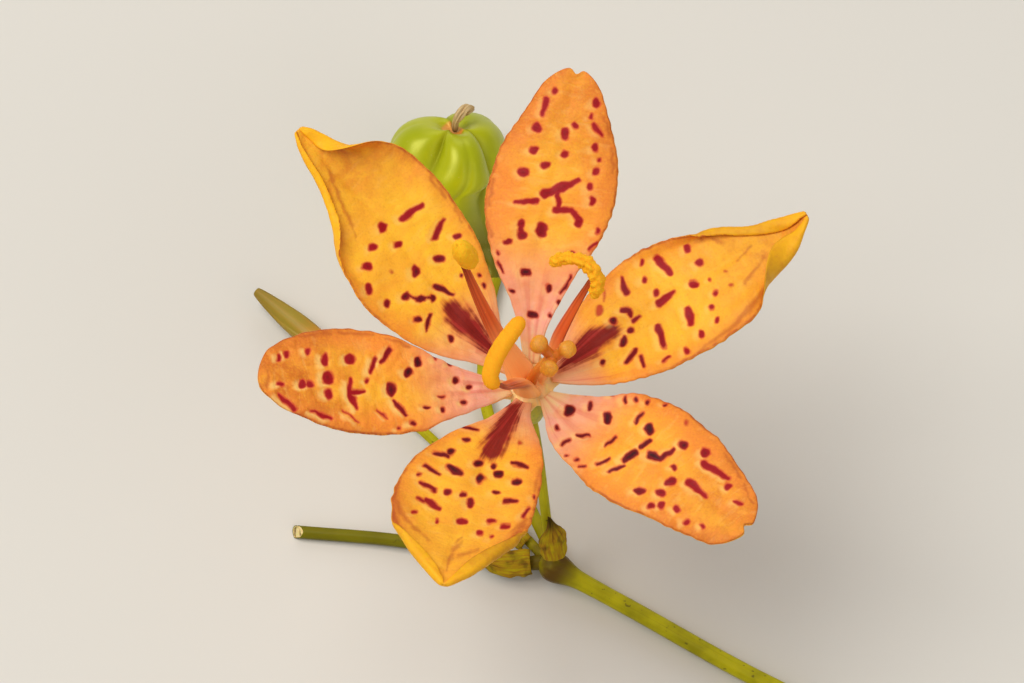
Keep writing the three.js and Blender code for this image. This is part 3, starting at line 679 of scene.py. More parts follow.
def skin(grid, place):
    """A bmesh of one skin: a grid whose x is bent round the piece and whose y runs along it.

    grid is the number of faces round it and along it. place(turn, share) gives the points of the grid, in
    millimetres, and a dictionary of values kept at each. What would reach below the table is flattened on it.
    """
    shape = bmesh.new()
    bmesh.ops.create_grid(shape, x_segments=grid[0], y_segments=grid[1], size=0.5)
    shape.verts.index_update()
    turn = np.array([vertex.co.x for vertex in shape.verts]) + 0.5
    share = np.array([vertex.co.y for vertex in shape.verts]) + 0.5
    points, kept = place(turn, share)
    points[:, 2] = np.maximum(points[:, 2], 0)
    points = (points + BLOOM_AXIS) * MM
    sheet = shape.loops.layers.uv.new("Sheet")
    layers = {key: shape.verts.layers.float.new(key) for key in kept}
    for vertex in shape.verts:
        vertex.co = points[vertex.index]
        for key, layer in layers.items():
            vertex[layer] = kept[key][vertex.index]
    for face in shape.faces:
        face.smooth = True
        for loop in face.loops:
            loop[sheet].uv = (turn[loop.vert.index], share[loop.vert.index])
    bmesh.ops.remove_doubles(shape, verts=shape.verts, dist=DOUBLES)
    bmesh.ops.dissolve_degenerate(shape, edges=shape.edges, dist=DEGENERATE)
    bmesh.ops.recalc_face_normals(shape, faces=shape.faces)
    return shape


def piece(name, shape, materials, slot, *nodes):
    """Makes a bmesh an object that rides on the flower and stands for the nodes."""
    mesh = bpy.data.meshes.new(name)
    shape.to_mesh(mesh)
    shape.free()
    for material in materials:
        mesh.materials.append(material)
    made = bpy.data.objects.new(name, mesh)
    bpy.context.scene.collection.objects.link(made)
    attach(made, BODY)
    if nodes:
        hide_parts(*nodes)
    return made


UPPER_PART = 0.68  # of a blade's grid, on its upper face
END_THICKNESS = 0.3  # of a blade, as a share of that of its middle
EDGE_BLUNTNESS = 10  # the power that keeps a blade thick up to its margin
END_BLUNTNESS = 40  # and up to its ends


def blade(place, thickness, grid, crowding=1.0):
    """A thin blade with rounded edges. place(u, v) gives its middle surface at u along and v from -1 to 1 across,
    the way that it faces, and values kept there. More of the grid goes to the upper face, and with a crowding above
    1 its rows get closer towards the tip."""

    def both_faces(turn, share):
        u = 1 - (1 - share) ** crowding
        upper = turn < UPPER_PART
        v = np.where(upper, 1 - 2 * turn / UPPER_PART, 2 * (turn - UPPER_PART) / (1 - UPPER_PART) - 1)
        side = np.where(upper, 1, -1)
        middle, facing, kept = place(u, v)
        to_ends = np.maximum(np.sqrt(1 - np.abs(2 * share - 1) ** END_BLUNTNESS), END_THICKNESS)
        body = np.sqrt(1 - np.abs(v) ** EDGE_BLUNTNESS) * to_ends
        kept["upper"] = upper.astype(float)
        return middle + facing * (side * body * thickness / 2)[:, None], kept

    form = skin(grid, both_faces)
    ends = bmesh.ops.holes_fill(form, edges=[edge for edge in form.edges if edge.is_boundary])["faces"]
    for face in bmesh.ops.triangulate(form, faces=ends)["faces"]:
        face.smooth = False
    bmesh.ops.recalc_face_normals(form, faces=form.faces)
    return form


POLE = 1e-6  # the share of a tube's length that counts as its end


def tube(path, profile, grid, facing=(0, 0, 1), flatness=1.0, swell=None, values=None):
    """A turned body bent along a path. profile lists (share of the length, radius), swell(angle, share) gives what
    its radius is multiplied by, and values(angle, share) what is kept on it for the looks."""
    facing = np.array(facing, float)
    path = path if isinstance(path, Path) else Path(path)
    shares, radii = zip(*profile)

    def round_the_path(turn, share):
        angle = turn * math.tau
        at = np.clip(along(shares, share), 0, 1)
        radius = np.maximum(along(radii, share), 0)
        radius = np.where((share < POLE) | (share > 1 - POLE), 0, radius)
        if swell is not None:
            radius = radius * swell(angle, at)
        tangent = path.tangent(at)
        front = unit(facing - tangent * dot(facing, tangent))
        side = np.cross(tangent, front)
        points = path.at(at)
        points = points + side * (radius * np.sin(angle))[:, None]
        points = points + front * (radius * np.cos(angle) * flatness)[:, None]
        kept = {"along": at}
        if values is not None:
            kept.update(values(angle, at))
        return points, kept

    return skin(grid, round_the_path)


STRAIGHT_STEPS = 40


def straight_profile(radius, swellings):
    """A profile of one radius with flat ends, and with swellings, each (share, reach, gain)."""

    def swollen(share):
        return radius * (1 + sum(gain * math.exp(-(((share - at) / reach) ** 2)) for at, reach, gain in swellings))

    middle = [(share, swollen(share)) for share in np.linspace(0, 1, STRAIGHT_STEPS + 1)]
    return [(0, 0), *middle, (1, 0)]


# Tepals


TEPAL_LENGTH = 27  # about, for the waves that run along it
TEPAL_GRID = (200, 230)
OUTER_CROWDING = 1.2
INNER_CROWDING = 1.3
BEND_STEPS = 24  # in which a half blade is bent, from the midrib to the margin
MIDRIB_STEP = 0.01  # of a tepal's length
MARGIN_START = 0.6  # of the half width: from there on the margin's crinkles and waves grow
MIDRIB_GROOVE_DEPTH = 0.14
MIDRIB_GROOVE_WIDTH = 0.5


def half_widths(shape, u, side, edge, seed):
    """The half widths of a tepal, with its rounded tip and its crinkled margins."""
    half = np.where(side > 0, along(shape["left"], u), along(shape["right"], u))
    if "notch" in shape:
        half = half * np.sqrt(1 - np.maximum(0, (u - 1 + BLUNT_LENGTH) / BLUNT_LENGTH) ** 2)
    half = np.maximum(half, LEAST_HALF_WIDTH * (1 - 0.8 * smoothstep(u, 0.97, 1)))
    x, y = side * 9, u * TEPAL_LENGTH
    crinkles = 0.007 * ripples(y, x, 1.1, seed + 20) + 0.005 * ripples(y, x, 2.6, seed + 21)
    return half * (1 + edge * crinkles)


def curled_margins(shape, u, side):
    """By how much the margins of a tepal curl, and the shares of the half width where that starts and ends."""
    curls = [along(shape.get(key, FLAT), u) for key in ("curl_left", "curl_right")]
    curl = np.radians(np.where(side > 0, curls[0], curls[1]))
    rolls = [[along(ends, u) for ends in roll] for roll in shape.get("rolls", EVEN_ROLLS)]
    start, end = (np.where(side > 0, rolls[0][k], rolls[1][k]) for k in (0, 1))
    return curl, start, end


def tepal_relief(x, u, edge, seed):
    """Low waves and the groove of the midrib, which fade towards both ends of the tepal."""
    y = u * TEPAL_LENGTH
    relief = 0.07 * ripples(x, y * 0.7, 4.5, seed) + 0.03 * ripples(x, y * 0.6, 1.6, seed + 40)
    relief = relief + 0.09 * edge * ripples(y, x * 0.2, 5, seed + 60)
    groove = MIDRIB_GROOVE_DEPTH * np.exp(-((x / MIDRIB_GROOVE_WIDTH) ** 2))
    relief = relief - groove * smoothstep(u, 0.05, 0.3)
    return relief * smoothstep(u, 0, 0.15) * smoothstep(1 - u, 0, 0.06)


def pucker(from_dark):
    """How the skin is raised round the dark spots and sunk in them."""
    raised = np.exp(-(((from_dark - 0.5) / 0.32) ** 2))
    return raised - 0.8 * np.exp(-(((from_dark + 0.15) / 0.35) ** 2))


def marks_at(name, seen):
    """How far places of a tepal are from its marks, in millimetres. The places are given as pixels."""
    spots = SPOTS[name]
    dark = drawn_out(spots["round"]) + spots["long"]
    return {
        "spot": from_spots(seen, dark),
        "faint": from_spots(seen, drawn_out(spots["faint"])),
        "streak": from_spots(seen, spots["streaks"]),
        # beside is small on the lit side of each pucker, where its painted highlight goes.
        "beside": from_spots(seen + PUCKER_SHIFT, dark),
        "flame_edge": from_outline(seen, FLAMES[name]) if name in FLAMES else np.full(len(seen), NO_FLAME),
    }


def shades_at(shape, u, side):
    """How strongly the shades of a tepal show at its places."""
    return {
        "browning": shape["browning"] * smoothstep(u, 0.5, 0.85),
        "warmth": np.full(len(u), shape["warmth"]),
        "claw": smoothstep(u, shape["pink_claw"] + 0.06, 0.06),
        "darkness": smoothstep(u, shape["dark_spots"] + 0.15, shape["dark_spots"] - 0.15),
        # pale sets how strong the painted highlight on the lit side of the puckers is.
        "pale": np.full(len(u), 10 * shape["puckered"]),
        # Painted shade on the rolled margins, fading out towards the tip.
        "rim_shade": np.where(side > 0, *shape.get("rim_shade", (0.0, 0.0))) * smoothstep(u, 1.05, 0.8),
    }


def tepal_surface(name, shape):
    """The middle surface of a tepal, as place(u, v)."""
    angle = math.radians(shape["azimuth"])
    outward = np.array([math.cos(angle), math.sin(angle), 0])
    leftward = np.array([-math.sin(angle), math.cos(angle), 0])
    up = np.array([0, 0, 1])
    notch = shape.get("notch", {"at": 0, "width": 1, "depth": 0})
    seed = list(TEPALS).index(name) + 3

    def midrib(u):
        height = along(shape["rise"], u) + BLOOM_HEIGHT
        return (
            outward * along(shape["reach"], u)[:, None]
            + leftward * along(shape["sway"], u)[:, None]
            + up * height[:, None]
        )

    def place(u, v):
        tangent = unit(midrib(np.minimum(u + MIDRIB_STEP, 1)) - midrib(np.maximum(u - MIDRIB_STEP, 0)))
        across = unit(leftward - tangent * dot(leftward, tangent))
        facing = np.cross(tangent, across)
        side = np.where(v < 0, -1.0, 1.0)
        edge = smoothstep(np.abs(v), MARGIN_START, 1)
        half = half_widths(shape, u, side, edge, seed)
        lift = np.radians(along(shape["cup"], u))
        curl, start, end = curled_margins(shape, u, side)

        def lean(part):
            return lift * part + curl * smoothstep(part, start, end)

        at = midrib(u)
        stride = half * np.abs(v) / BEND_STEPS
        for i in range(BEND_STEPS):
            turned = lean(np.abs(v) * (i + 0.5) / BEND_STEPS)
            at = at + across * (side * stride * np.cos(turned))[:, None]
            at = at + facing * (stride * np.sin(turned))[:, None]
        dent = notch["depth"] * np.exp(-(((v * half - notch["at"]) / notch["width"]) ** 2)) * smoothstep(u, 0.9, 1)
        at = at - tangent * dent[:, None]
        turned = lean(np.abs(v))
        normal = facing * np.cos(turned)[:, None] - across * (side * np.sin(turned))[:, None]
        at = at + normal * tepal_relief(v * half, u, edge, seed)[:, None]

        kept = {"along": u, "across": v, **marks_at(name, wobbled(pixels(at), seed)), **shades_at(shape, u, side)}
        # Painted shade: brown along the fold where a margin rolls in.
        crease = np.exp(-(((np.abs(v) - start) / 0.07) ** 2))
        kept["crease"] = crease * smoothstep(np.degrees(curl), 40, 130)
        at = at + normal * (shape["puckered"] * pucker(kept["spot"]))[:, None]
        return at, normal, kept

    return place


# How strongly the marks show on each kind of tepal
OUTER_MARKS = {
    "brown_rim": 0.7,
    "wrinkle_painted_shade": 0.2,
    "wrinkle_painted_highlight": 0.08,
    "wrinkle_relief": 0.4,
    "pink_claw": 0.7,
    "pale_streaks": 0.35,
    "pale_foot": 0.4,
    "veins": 0.35,
}
INNER_MARKS = {
    "brown_rim": 0.55,
    "wrinkle_painted_shade": 0.35,
    "wrinkle_painted_highlight": 0.14,
    "wrinkle_relief": 0.7,
    "pink_claw": 0.95,
    "pale_streaks": 0.45,
    "pale_foot": 0.85,
    "veins": 0.25,
}


class PetalSurface(Surface):
    """The skin of a tepal. Its methods lay their marks over the colour so far, and give the new one."""

    def __init__(self, colours, inner):
        super().__init__("petal_inner" if inner else "petal_outer")
        self.colours = colours
        self.inner = inner
        self.marks = INNER_MARKS if inner else OUTER_MARKS
        self.lengthwise = self.attribute("along")
        across = self.attribute("across")
        self.margin = across.math("ABSOLUTE", across)
        self.broad = self.noise(self.place(0.2), detail=4)
        self.mottled = self.noise(self.place(0.55), detail=4, roughness=0.55, distortion=0.6)
        self.fine = self.noise(self.place(1.3), detail=5, roughness=0.65)
        self.cells = self.noise(self.place(4.5), detail=3, roughness=0.6)
        self.streaks = self.noise(self.sheet(30, 2.4), detail=4, roughness=0.55)
        self.wrinkles = self.noise(self.sheet(6, 30), detail=3, roughness=0.55, distortion=0.4)
        self.ragged = (self.fine - 0.5) * 0.12 + (self.cells - 0.5) * 0.06

    def ground(self):
        """Yellow to orange, browner towards tip and margin, with cells, and painted shade and highlight on wrinkles.
        """
        colours, marks, margin, cells, wrinkles = self.colours, self.marks, self.margin, self.cells, self.wrinkles
        if self.inner:
            orange = margin.step(0.25, 0.95) * 0.55 + self.broad.step(0.38, 0.68) * 0.45 + 0.3
        else:
            orange = margin.step(0.45, 1.0) * 0.5 + self.broad.step(0.42, 0.72) * 0.4
        orange = orange + self.attribute("warmth")
        colour = self.mix(orange.at_most(1.0), colours.petal, colours.petal_orange)
        brown = self.attribute("browning") * (0.35 + 0.6 * self.mottled.step(0.35, 0.62))
        brown = brown + margin.step(0.7, 1.0) * self.fine * marks["brown_rim"]
        colour = self.mix(brown.at_most(0.9), colour, colours.petal_brown)
        colour = self.mix(cells.step(0.48, 0.68) * 0.22, colour, colours.petal_under)
        colour = self.mix(cells.step(0.5, 0.3) * 0.2, colour, colours.petal_brown)
        # Painted shade and painted highlight along the wrinkles.
        colour = self.mix(wrinkles.step(0.5, 0.66) * marks["wrinkle_painted_shade"], colour, colours.petal_orange)
        return self.mix(wrinkles.step(0.46, 0.32) * marks["wrinkle_painted_highlight"], colour, colours.petal_pale)

    def claw(self, colour):
        """Pink, pale at the foot, blushed and veined, with a pair of lines beside the midrib of inner tepals."""
        colours, marks, lengthwise, margin = self.colours, self.marks, self.lengthwise, self.margin
        colour = self.mix(self.attribute("claw") * marks["pink_claw"], colour, colours.petal_pink)
        pale = self.streaks.step(0.5, 0.3) * lengthwise.step(0.32, 0.08) * marks["pale_streaks"]
        pale = pale + lengthwise.step(0.15, 0.05) * marks["pale_foot"]
        colour = self.mix(pale.at_most(0.9), colour, colours.pith)
        blush = self.mottled.step(0.5, 0.64) * lengthwise.step(0.5, 0.15)
        colour = self.mix(blush * 0.25, colour, colours.petal_orange)
        veins = self.streaks.step(0.52, 0.7) * lengthwise.step(0.5, 0.1)
        colour = self.mix(veins * marks["veins"], colour, colours.vein)
        if not self.inner:
            return colour
        pair = margin.step(0.1, 0.27) * margin.step(0.46, 0.29) * lengthwise.step(0.4, 0.15)
        return self.mix(pair * self.broad.step(0.2, 0.5) * 0.38, colour, colours.vein)

    def flame(self, colour):
        """The dark flame at the foot, with lighter and darker streaks."""
        colours, streaks = self.colours, self.streaks
        flame = self.attribute("flame_edge") + (streaks - 0.5) * 1.5 + (self.mottled - 0.5) * 0.9 + self.ragged
        colour = self.mix(flame.step(0.6, 0.0) * 0.5, colour, colours.spot_rim)
        colour = self.mix(flame.step(0.25, -0.3) * 0.95, colour, colours.flame)
        glints = streaks.step(0.48, 0.62) * flame.step(0.1, -0.3) * 0.65
        colour = self.mix(glints, colour, colours.flame_light)
        depths = streaks.step(0.46, 0.34) * flame.step(0.0, -0.35) * 0.2
        return self.mix(depths, colour, colours.spot_dark)

    def lines(self, colour):
        """Painted shade in brown along the fold of a rolled margin, brown on the thin edge, and the streaks."""
        brown, fine = self.colours.petal_edge, self.fine
        # Painted shade along the fold of a rolled margin.
        crease = self.attribute("crease") * (0.4 + 0.5 * fine.step(0.35, 0.6))
        colour = self.mix(crease, colour, brown)
        edge = self.margin.step(0.94, 0.985) * self.lengthwise.step(0.2, 0.5)
        colour = self.mix(edge * (0.4 + 0.5 * fine.step(0.4, 0.6)), colour, brown)
        # The streaks are brown marks, and those along the folds of rolled margins are painted shade.
        streak = self.attribute("streak") + (fine - 0.5) * 0.55
        return self.mix(streak.step(0.2, -0.2) * 0.6, colour, brown)

    def spots(self, colour):
        """Faint spots, painted highlights on the lit side of puckers, and dark spots with soft rims and darker cores.
        """
        colours = self.colours
        faint = self.attribute("faint") + self.ragged
        colour = self.mix(faint.step(0.15, -0.2) * 0.9, colour, self.mix(0.5, colours.spot_rim, colours.spot))
        spot = self.attribute("spot") + self.ragged
        # Painted highlight: pale on the lit side of the puckers round the spots.
        beside = self.attribute("beside") + (self.mottled - 0.5) * 0.9
        colour = self.mix(beside.step(0.3, -0.25) * self.attribute("pale"), colour, colours.petal_pale)
        darkness = self.attribute("darkness")
        dark = darkness * 0.55 + self.cells.step(0.52, 0.66) * 0.15
        dark = dark + spot.step(-0.1, -0.42) * (0.2 + 0.45 * darkness)
        core = self.mix(dark.at_most(0.9), colours.spot, colours.spot_dark)
        colour = self.mix(spot.step(0.17, 0.0) * 0.75, colour, colours.spot_rim)
        return self.mix(spot.step(0.04, -0.1), colour, core)

    def underside(self):
        """Yellow to orange, with painted shade in olive on the rolled margins."""
        colours, fine = self.colours, self.fine
        under = self.mix(fine.step(0.4, 0.75) * 0.4, colours.petal_under, colours.petal_orange)
        under = self.mix(self.lengthwise.step(0.75, 0.2) * 0.6, under, colours.petal_orange)
        # Painted shade in olive on the rolled margins.
        shade = self.attribute("rim_shade") * (0.8 + 0.3 * fine.step(0.3, 0.7))
        return self.mix(shade, under, colours.rim_painted_shade)

    def relief(self):
        ribs = self.bump(self.wrinkles, self.marks["wrinkle_relief"], 0.14, self.bump(self.streaks, 0.35, 0.1))
        return self.bump(self.cells, 0.5, 0.05, self.bump(self.fine, 0.45, 0.12, ribs))


def petal_material(colours, inner):
    """Petal skin: yellow to orange, pink and veined towards the claw, with spots and, on outer tepals, the flame."""
    surface = PetalSurface(colours, inner)
    colour = surface.claw(surface.ground())
    if not inner:
        colour = surface.flame(colour)
    colour = surface.spots(surface.lines(colour))
    colour = surface.mix(surface.attribute("upper"), surface.underside(), colour)
    soft = {
        "Subsurface Weight": 0.1,
        "Subsurface Radius": (1.0, 0.4, 0.15),
        "Subsurface Scale": 0.25 * MM,
        "Specular IOR Level": 0.22,
    }
    return surface.finish(colour, 0.45 + 0.2 * surface.fine, surface.relief(), soft)


class LILY_OT_tepals(bpy.types.Operator):
    """Builds the three outer and the three inner tepals"""

    bl_idname = "lily.tepals"
    bl_label = "Tepals"

    def execute(self, context):
        colours = context.scene.lily_colours
        thickness = context.scene.lily_sizes.petal_thickness / MM
        outer = petal_material(colours, inner=False)
        inner = petal_material(colours, inner=True)
        for name, shape in TEPALS.items():
            is_inner = "notch" in shape
            crowding = INNER_CROWDING if is_inner else OUTER_CROWDING
            form = blade(tepal_surface(name, shape), thickness, TEPAL_GRID, crowding)
            slot = "inner_tepal" if is_inner else "outer_tepal"
            piece(name + "_petal", form, [inner if is_inner else outer], slot, name)
        return {"FINISHED"}


# Stamens and style

# The stamens, in points from the middle of the bloom, upwards. foot is how far the filament's foot is from that
# middle, foot_width what its width is multiplied by, open how far the anther has opened, from 0 to 1, ripe how much
# its pollen has darkened, and thickness what the anther's radius is multiplied by.
STAMENS = {
    "right": {
        "azimuth": 23.5,
        "filament": [(1.9, 1.2, 3.2), (2.5, 1.8, 6.4), (3.8, 2.8, 10.1), (5.05, 3.55, 13.4)],
        "anther": [
            (5.5, 2.3, 13.5), (5.9, 3.1, 14.6), (5.6, 4.0, 15.3), (4.5, 4.8, 15.7), (3.1, 5.2, 15.5), (1.7, 5.2, 14.6),
        ],
        "foot": 0.9,
        "foot_width": 0.6,
        "open": 0.9,
        "ripe": 0.35,
        "thickness": 0.8,
    },
    "left": {
        "azimuth": 137.3,
        "filament": [(-1.6, 1.4, 2.4), (-2.7, 2.2, 4.9), (-4.5, 4.1, 9.1), (-5.9, 5.7, 13.3)],
        "anther": [(-5.1, 5.5, 13.7), (-5.8, 5.5, 15.8), (-6.5, 5.5, 17.5)],
        "foot": 1.1,
        "foot_width": 1.15,
        "open": 0.15,
        "ripe": 0.0,
        "thickness": 1.35,
    },
    "front": {
        "azimuth": 253,
        "filament": [(-0.8, -1.3, 3.2), (-1.6, -2.8, 6.3), (-2.3, -4.4, 9.4), (-2.85, -5.65, 12.8)],
        "anther": [
            (-2.9, -6.3, 13.2), (-3.5, -5.6, 13.9), (-3.3, -4.6, 14.4), (-2.7, -3.3, 14.8), (-1.8, -1.9, 14.9),
            (-0.7, -0.2, 14.7),
        ],
        "foot": 0.9,
        "foot_width": 1.05,
        "open": 0.0,
        "ripe": 0.6,
        "thickness": 1.05,
    },
}
FOOT_LIFT = 0.5
FILAMENT_REACH = 0.7  # of a filament's tip into its anther
FILAMENT_RADIUS = 1.25
FILAMENT_TIP = 0.3
FILAMENT_FLATNESS = 0.5
FILAMENT_GROOVES = [(2.1, 0.9), (2.6, 0.75), (3.35, 0.35)]  # bearings from outside, and depths
GROOVE_DEPTH = 0.22  # of the filament's radius
GROOVE_WIDTH = 0.2
FILAMENT_GRID = (48, 80)
ANTHER_RADIUS = 0.72
ANTHER_STEPS = 16
ANTHER_FLATNESS = 0.9
ANTHER_GRID = (44, 150)
POLLEN_GRAINS = 420
CLOSED_POLLEN = 0.1  # of the grains, on an anther that is closed
STYLE_PATH = [(0, 0, FOOT_LIFT), (0.5, -0.1, 3), (1.3, -0.4, 5.6), (2.0, -0.8, 7.8)]
STYLE_RADIUS = 0.45
STIGMAS = [(0.8, -0.2, 9.1), (3.2, -0.6, 8.9), (1.7, -2.0, 8.3)]
STIGMA_RADIUS = 0.85
STYLE_GRID = (28, 50)
STIGMA_GRID = (36, 60)
STIGMA_PROFILE = [
    (0, 0), (0, 0.5), (0.2, 0.5), (0.4, 0.5), (0.5, 0.62), (0.62, 0.82), (0.75, 0.87), (0.87, 0.75), (0.95, 0.5),
    (1, 0.2), (1, 0),
]


def lifted(points):
    """Points from the middle of the bloom, as points from the table under it."""
    return [(x, y, z + BLOOM_HEIGHT) for x, y, z in points]


def filament_material(colours):
    surface = Surface("filament")
    lengthwise = surface.attribute("along")
    streaks = surface.noise(surface.sheet(24, 1.6), detail=3)
    colour = surface.mix(lengthwise.step(0.55, 0.16), colours.filament, colours.filament_pale)
    colour = surface.mix(streaks.step(0.5, 0.25) * 0.3, colour, colours.petal_orange)
    # Painted shade: darker in the grooves and, above the foot, on the outer side; darker towards the tip too.
    dark = surface.attribute("groove") * 0.7 + streaks.step(0.55, 0.75) * 0.15 + lengthwise.step(0.7, 1.0) * 0.6
    dark = dark + surface.attribute("outer") * lengthwise.step(0.12, 0.3) * 0.7
    colour = surface.mix(dark.at_most(0.95), colour, colours.filament_dark)
    specks = surface.noise(surface.place(5.0), detail=2)
    colour = surface.mix(specks.step(0.7, 0.76) * 0.5, colour, colours.petal_under)
    normal = surface.bump(streaks, 0.4, 0.08)
    soft = {"Subsurface Weight": 0.12, "Subsurface Scale": 0.3 * MM, "Specular IOR Level": 0.4}
    return surface.finish(colour, 0.38, normal, soft)


def anther_material(colours):
    surface = Surface("anther")
    grains = surface.noise(surface.place(9.0), detail=3, roughness=0.7)
    lumps = surface.noise(surface.place(1.6), detail=2)
    colour = surface.mix(lumps.step(0.5, 0.8) * 0.3, colours.anther, colours.anther_dark)
    colour = surface.mix(grains.step(0.45, 0.3) * 0.15, colour, colours.anther_dark)
    colour = surface.mix(surface.attribute("ripe"), colour, colours.anther_dark)
    colour = surface.mix(surface.attribute("slit") * 0.25, colour, colours.petal_brown)
    normal = surface.bump(grains, 0.5, 0.05)
    soft = {"Subsurface Weight": 0.3, "Subsurface Scale": 0.4 * MM, "Specular IOR Level": 0.2}
    return surface.finish(colour, 0.75, normal, soft)


def stigma_material(colours):
    surface = Surface("stigma")
    grains = surface.noise(surface.place(7.0), detail=3, roughness=0.65)
    fade = surface.attribute("along")
    colour = surface.mix(grains.step(0.4, 0.7) * 0.5, colours.stigma, colours.petal_under)
    colour = surface.mix(fade.step(0.85, 0.3) * 0.85, colour, colours.petal_brown)
    normal = surface.bump(grains, 0.4, 0.05)
    return surface.finish(colour, 0.5, normal, {"Subsurface Weight": 0.35, "Subsurface Scale": 0.5 * MM})


def filament(stamen):
    """A strap with a broad foot, which gets round and thin towards its tip and has fine grooves."""
    azimuth = math.radians(stamen["azimuth"])
    outward = (math.cos(azimuth), math.sin(azimuth), 0)
    foot = (outward[0] * stamen["foot"], outward[1] * stamen["foot"], FOOT_LIFT)
    profile = [(0, 0.4 * FILAMENT_RADIUS)]
    for share in np.linspace(0, 1, 12):
        width = 1 + (stamen["foot_width"] - 1) * float(smoothstep(share, 0.35, 0.1))
        profile.append((share, width * (FILAMENT_RADIUS + (FILAMENT_TIP - FILAMENT_RADIUS) * share**0.8)))
    profile.append((1, 0))

    def groove_at(angle, share):
        lines = sum(depth * np.exp(-(((angle - at) / GROOVE_WIDTH) ** 2)) for at, depth in FILAMENT_GROOVES)
        return np.minimum(lines, 1) * smoothstep(share, 0.15, 0.6)

    def swell(angle, share):
        return 1 - GROOVE_DEPTH * groove_at(angle, share)

    tip = np.array(stamen["filament"][-1])
    tip = tip + unit((tip - stamen["filament"][-2])[None])[0] * FILAMENT_REACH
    path = Path(lifted([foot, *stamen["filament"][:-1], tuple(tip)]))

    def place_values(angle, share):
        # outer marks the outer side of the filament, which gets painted shade.
        return {"groove": groove_at(angle, share), "outer": smoothstep(np.cos(angle), -0.45, 0.15)}

    return tube(path, profile, FILAMENT_GRID, outward, FILAMENT_FLATNESS, swell, place_values)


def anther(name, stamen):
    """Two pollen sacs side by side along the path, lumpy where they have opened."""
    path = Path(lifted(stamen["anther"]))
    seed = 80 + len(name)
    radius = ANTHER_RADIUS * stamen["thickness"]
    profile = []
    for i in range(ANTHER_STEPS + 1):
        share = (1 - math.cos(math.pi * i / ANTHER_STEPS)) / 2
        to_end = min(1, min(share, 1 - share) * path.length / (1.3 * ANTHER_RADIUS * stamen["thickness"]))
        profile.append((share, radius * math.sqrt(1 - (1 - to_end) ** 2)))

    def slit_at(angle, share):
        turned = (angle + math.pi) % math.tau - math.pi
        return np.exp(-((turned / 0.2) ** 2)) + np.exp(-(((np.abs(turned) - math.pi) / 0.25) ** 2))

    def swell(angle, share):
        length = share * path.length
        lumps = 0.02 + 0.2 * stamen["open"]
        rough = lumps * ripples(length, np.sin(angle) * 0.8 + np.cos(angle) * 0.5, 0.8, seed)
        fine = (0.01 + 0.05 * stamen["open"]) * ripples(length, np.sin(angle) * 1.2 - np.cos(angle), 0.25, seed + 1)
        waist = 0.92 + 0.14 * np.sin(np.pi * share) + 0.1 * stamen["open"] * np.cos(share * 9 + seed)
        furrow = (0.03 + 0.07 * stamen["open"]) * slit_at(angle, share) * np.sin(np.pi * share) ** 0.5
        return (waist + rough + fine) * (1 - furrow)

    def place_values(angle, share):
        slit = slit_at(angle, share) * np.sin(np.pi * share) ** 0.5 * stamen["open"]
        return {"slit": slit, "ripe": np.full(len(share), stamen["ripe"])}

    return tube(path, profile, ANTHER_GRID, (0, 0, 1), ANTHER_FLATNESS, swell, place_values)


def sprinkle(shape, count, size, seed):
    """Sets small grains on a bmesh's faces, and gives them as a bmesh of their own."""
    draw = random.Random(seed)
    shape.faces.ensure_lookup_table()
    grains = bmesh.new()
    for _ in range(count):
        face = shape.faces[draw.randrange(len(shape.faces))]
        grain = size * draw.uniform(0.6, 1.2) / 2
        place = face.calc_center_median() + face.normal * grain * 0.5
        stretch = Matrix.Diagonal((1, draw.uniform(0.7, 1.1), draw.uniform(0.6, 1.0), 1))
        turned = Matrix.Rotation(draw.uniform(0, math.tau), 4, "Z")
        placed = Matrix.Translation(place) @ turned @ stretch
        bmesh.ops.create_icosphere(grains, subdivisions=1, radius=grain, matrix=placed)
    for face in grains.faces:
        face.smooth = True
    return grains


def style():
    """The column of the style, with three arms that end in lobed knobs."""
    column = straight_profile(STYLE_RADIUS, swellings=[(0, 0.1, 0.3), (1, 0.2, 0.35)])
    whole = tube(lifted(STYLE_PATH), column, STYLE_GRID)
    tip = STYLE_PATH[-1]
    for index, place in enumerate(STIGMAS):
        away = np.array(place) - np.array(tip)
        end = np.array(place) + away / np.linalg.norm(away) * STIGMA_RADIUS

        def lobes(angle, share, index=index):
            return 1 - 0.14 * np.cos(angle + index) ** 8 * smoothstep(share, 0.5, 0.8)

        arm = tube(lifted([tip, end]), STIGMA_PROFILE, STIGMA_GRID, swell=lobes)
        made = bpy.data.meshes.new("arm")
        arm.to_mesh(made)
        arm.free()
        whole.from_mesh(made)
        bpy.data.meshes.remove(made)
    return whole


class LILY_OT_stamens(bpy.types.Operator):
    """Builds the three filaments, their anthers and the pollen on them"""

    bl_idname = "lily.stamens"
    bl_label = "Stamens"

    def execute(self, context):
        colours = context.scene.lily_colours
        size = context.scene.lily_sizes.pollen_grain
        flesh = filament_material(colours)
        powder = anther_material(colours)
        for name, stamen in STAMENS.items():
            piece("filament_of_" + name, filament(stamen), [flesh], "filament", "filament_" + name)
            sacs = anther(name, stamen)
            count = int(POLLEN_GRAINS * (CLOSED_POLLEN + stamen["open"]))
            grains = sprinkle(sacs, count, size, len(name))
            piece("pollen_of_" + name, grains, [powder], "anther")
            piece("anther_of_" + name, sacs, [powder], "anther", "anther_" + name)
        return {"FINISHED"}


class LILY_OT_style(bpy.types.Operator):
    """Builds the style with its three arms and round stigmas"""

    bl_idname = "lily.style"
    bl_label = "Style"

    def execute(self, context):
        flesh = stigma_material(context.scene.lily_colours)
        piece("style_and_stigmas", style(), [flesh], "style", "style")
        return {"FINISHED"}


# Ovary, stem and pedicels

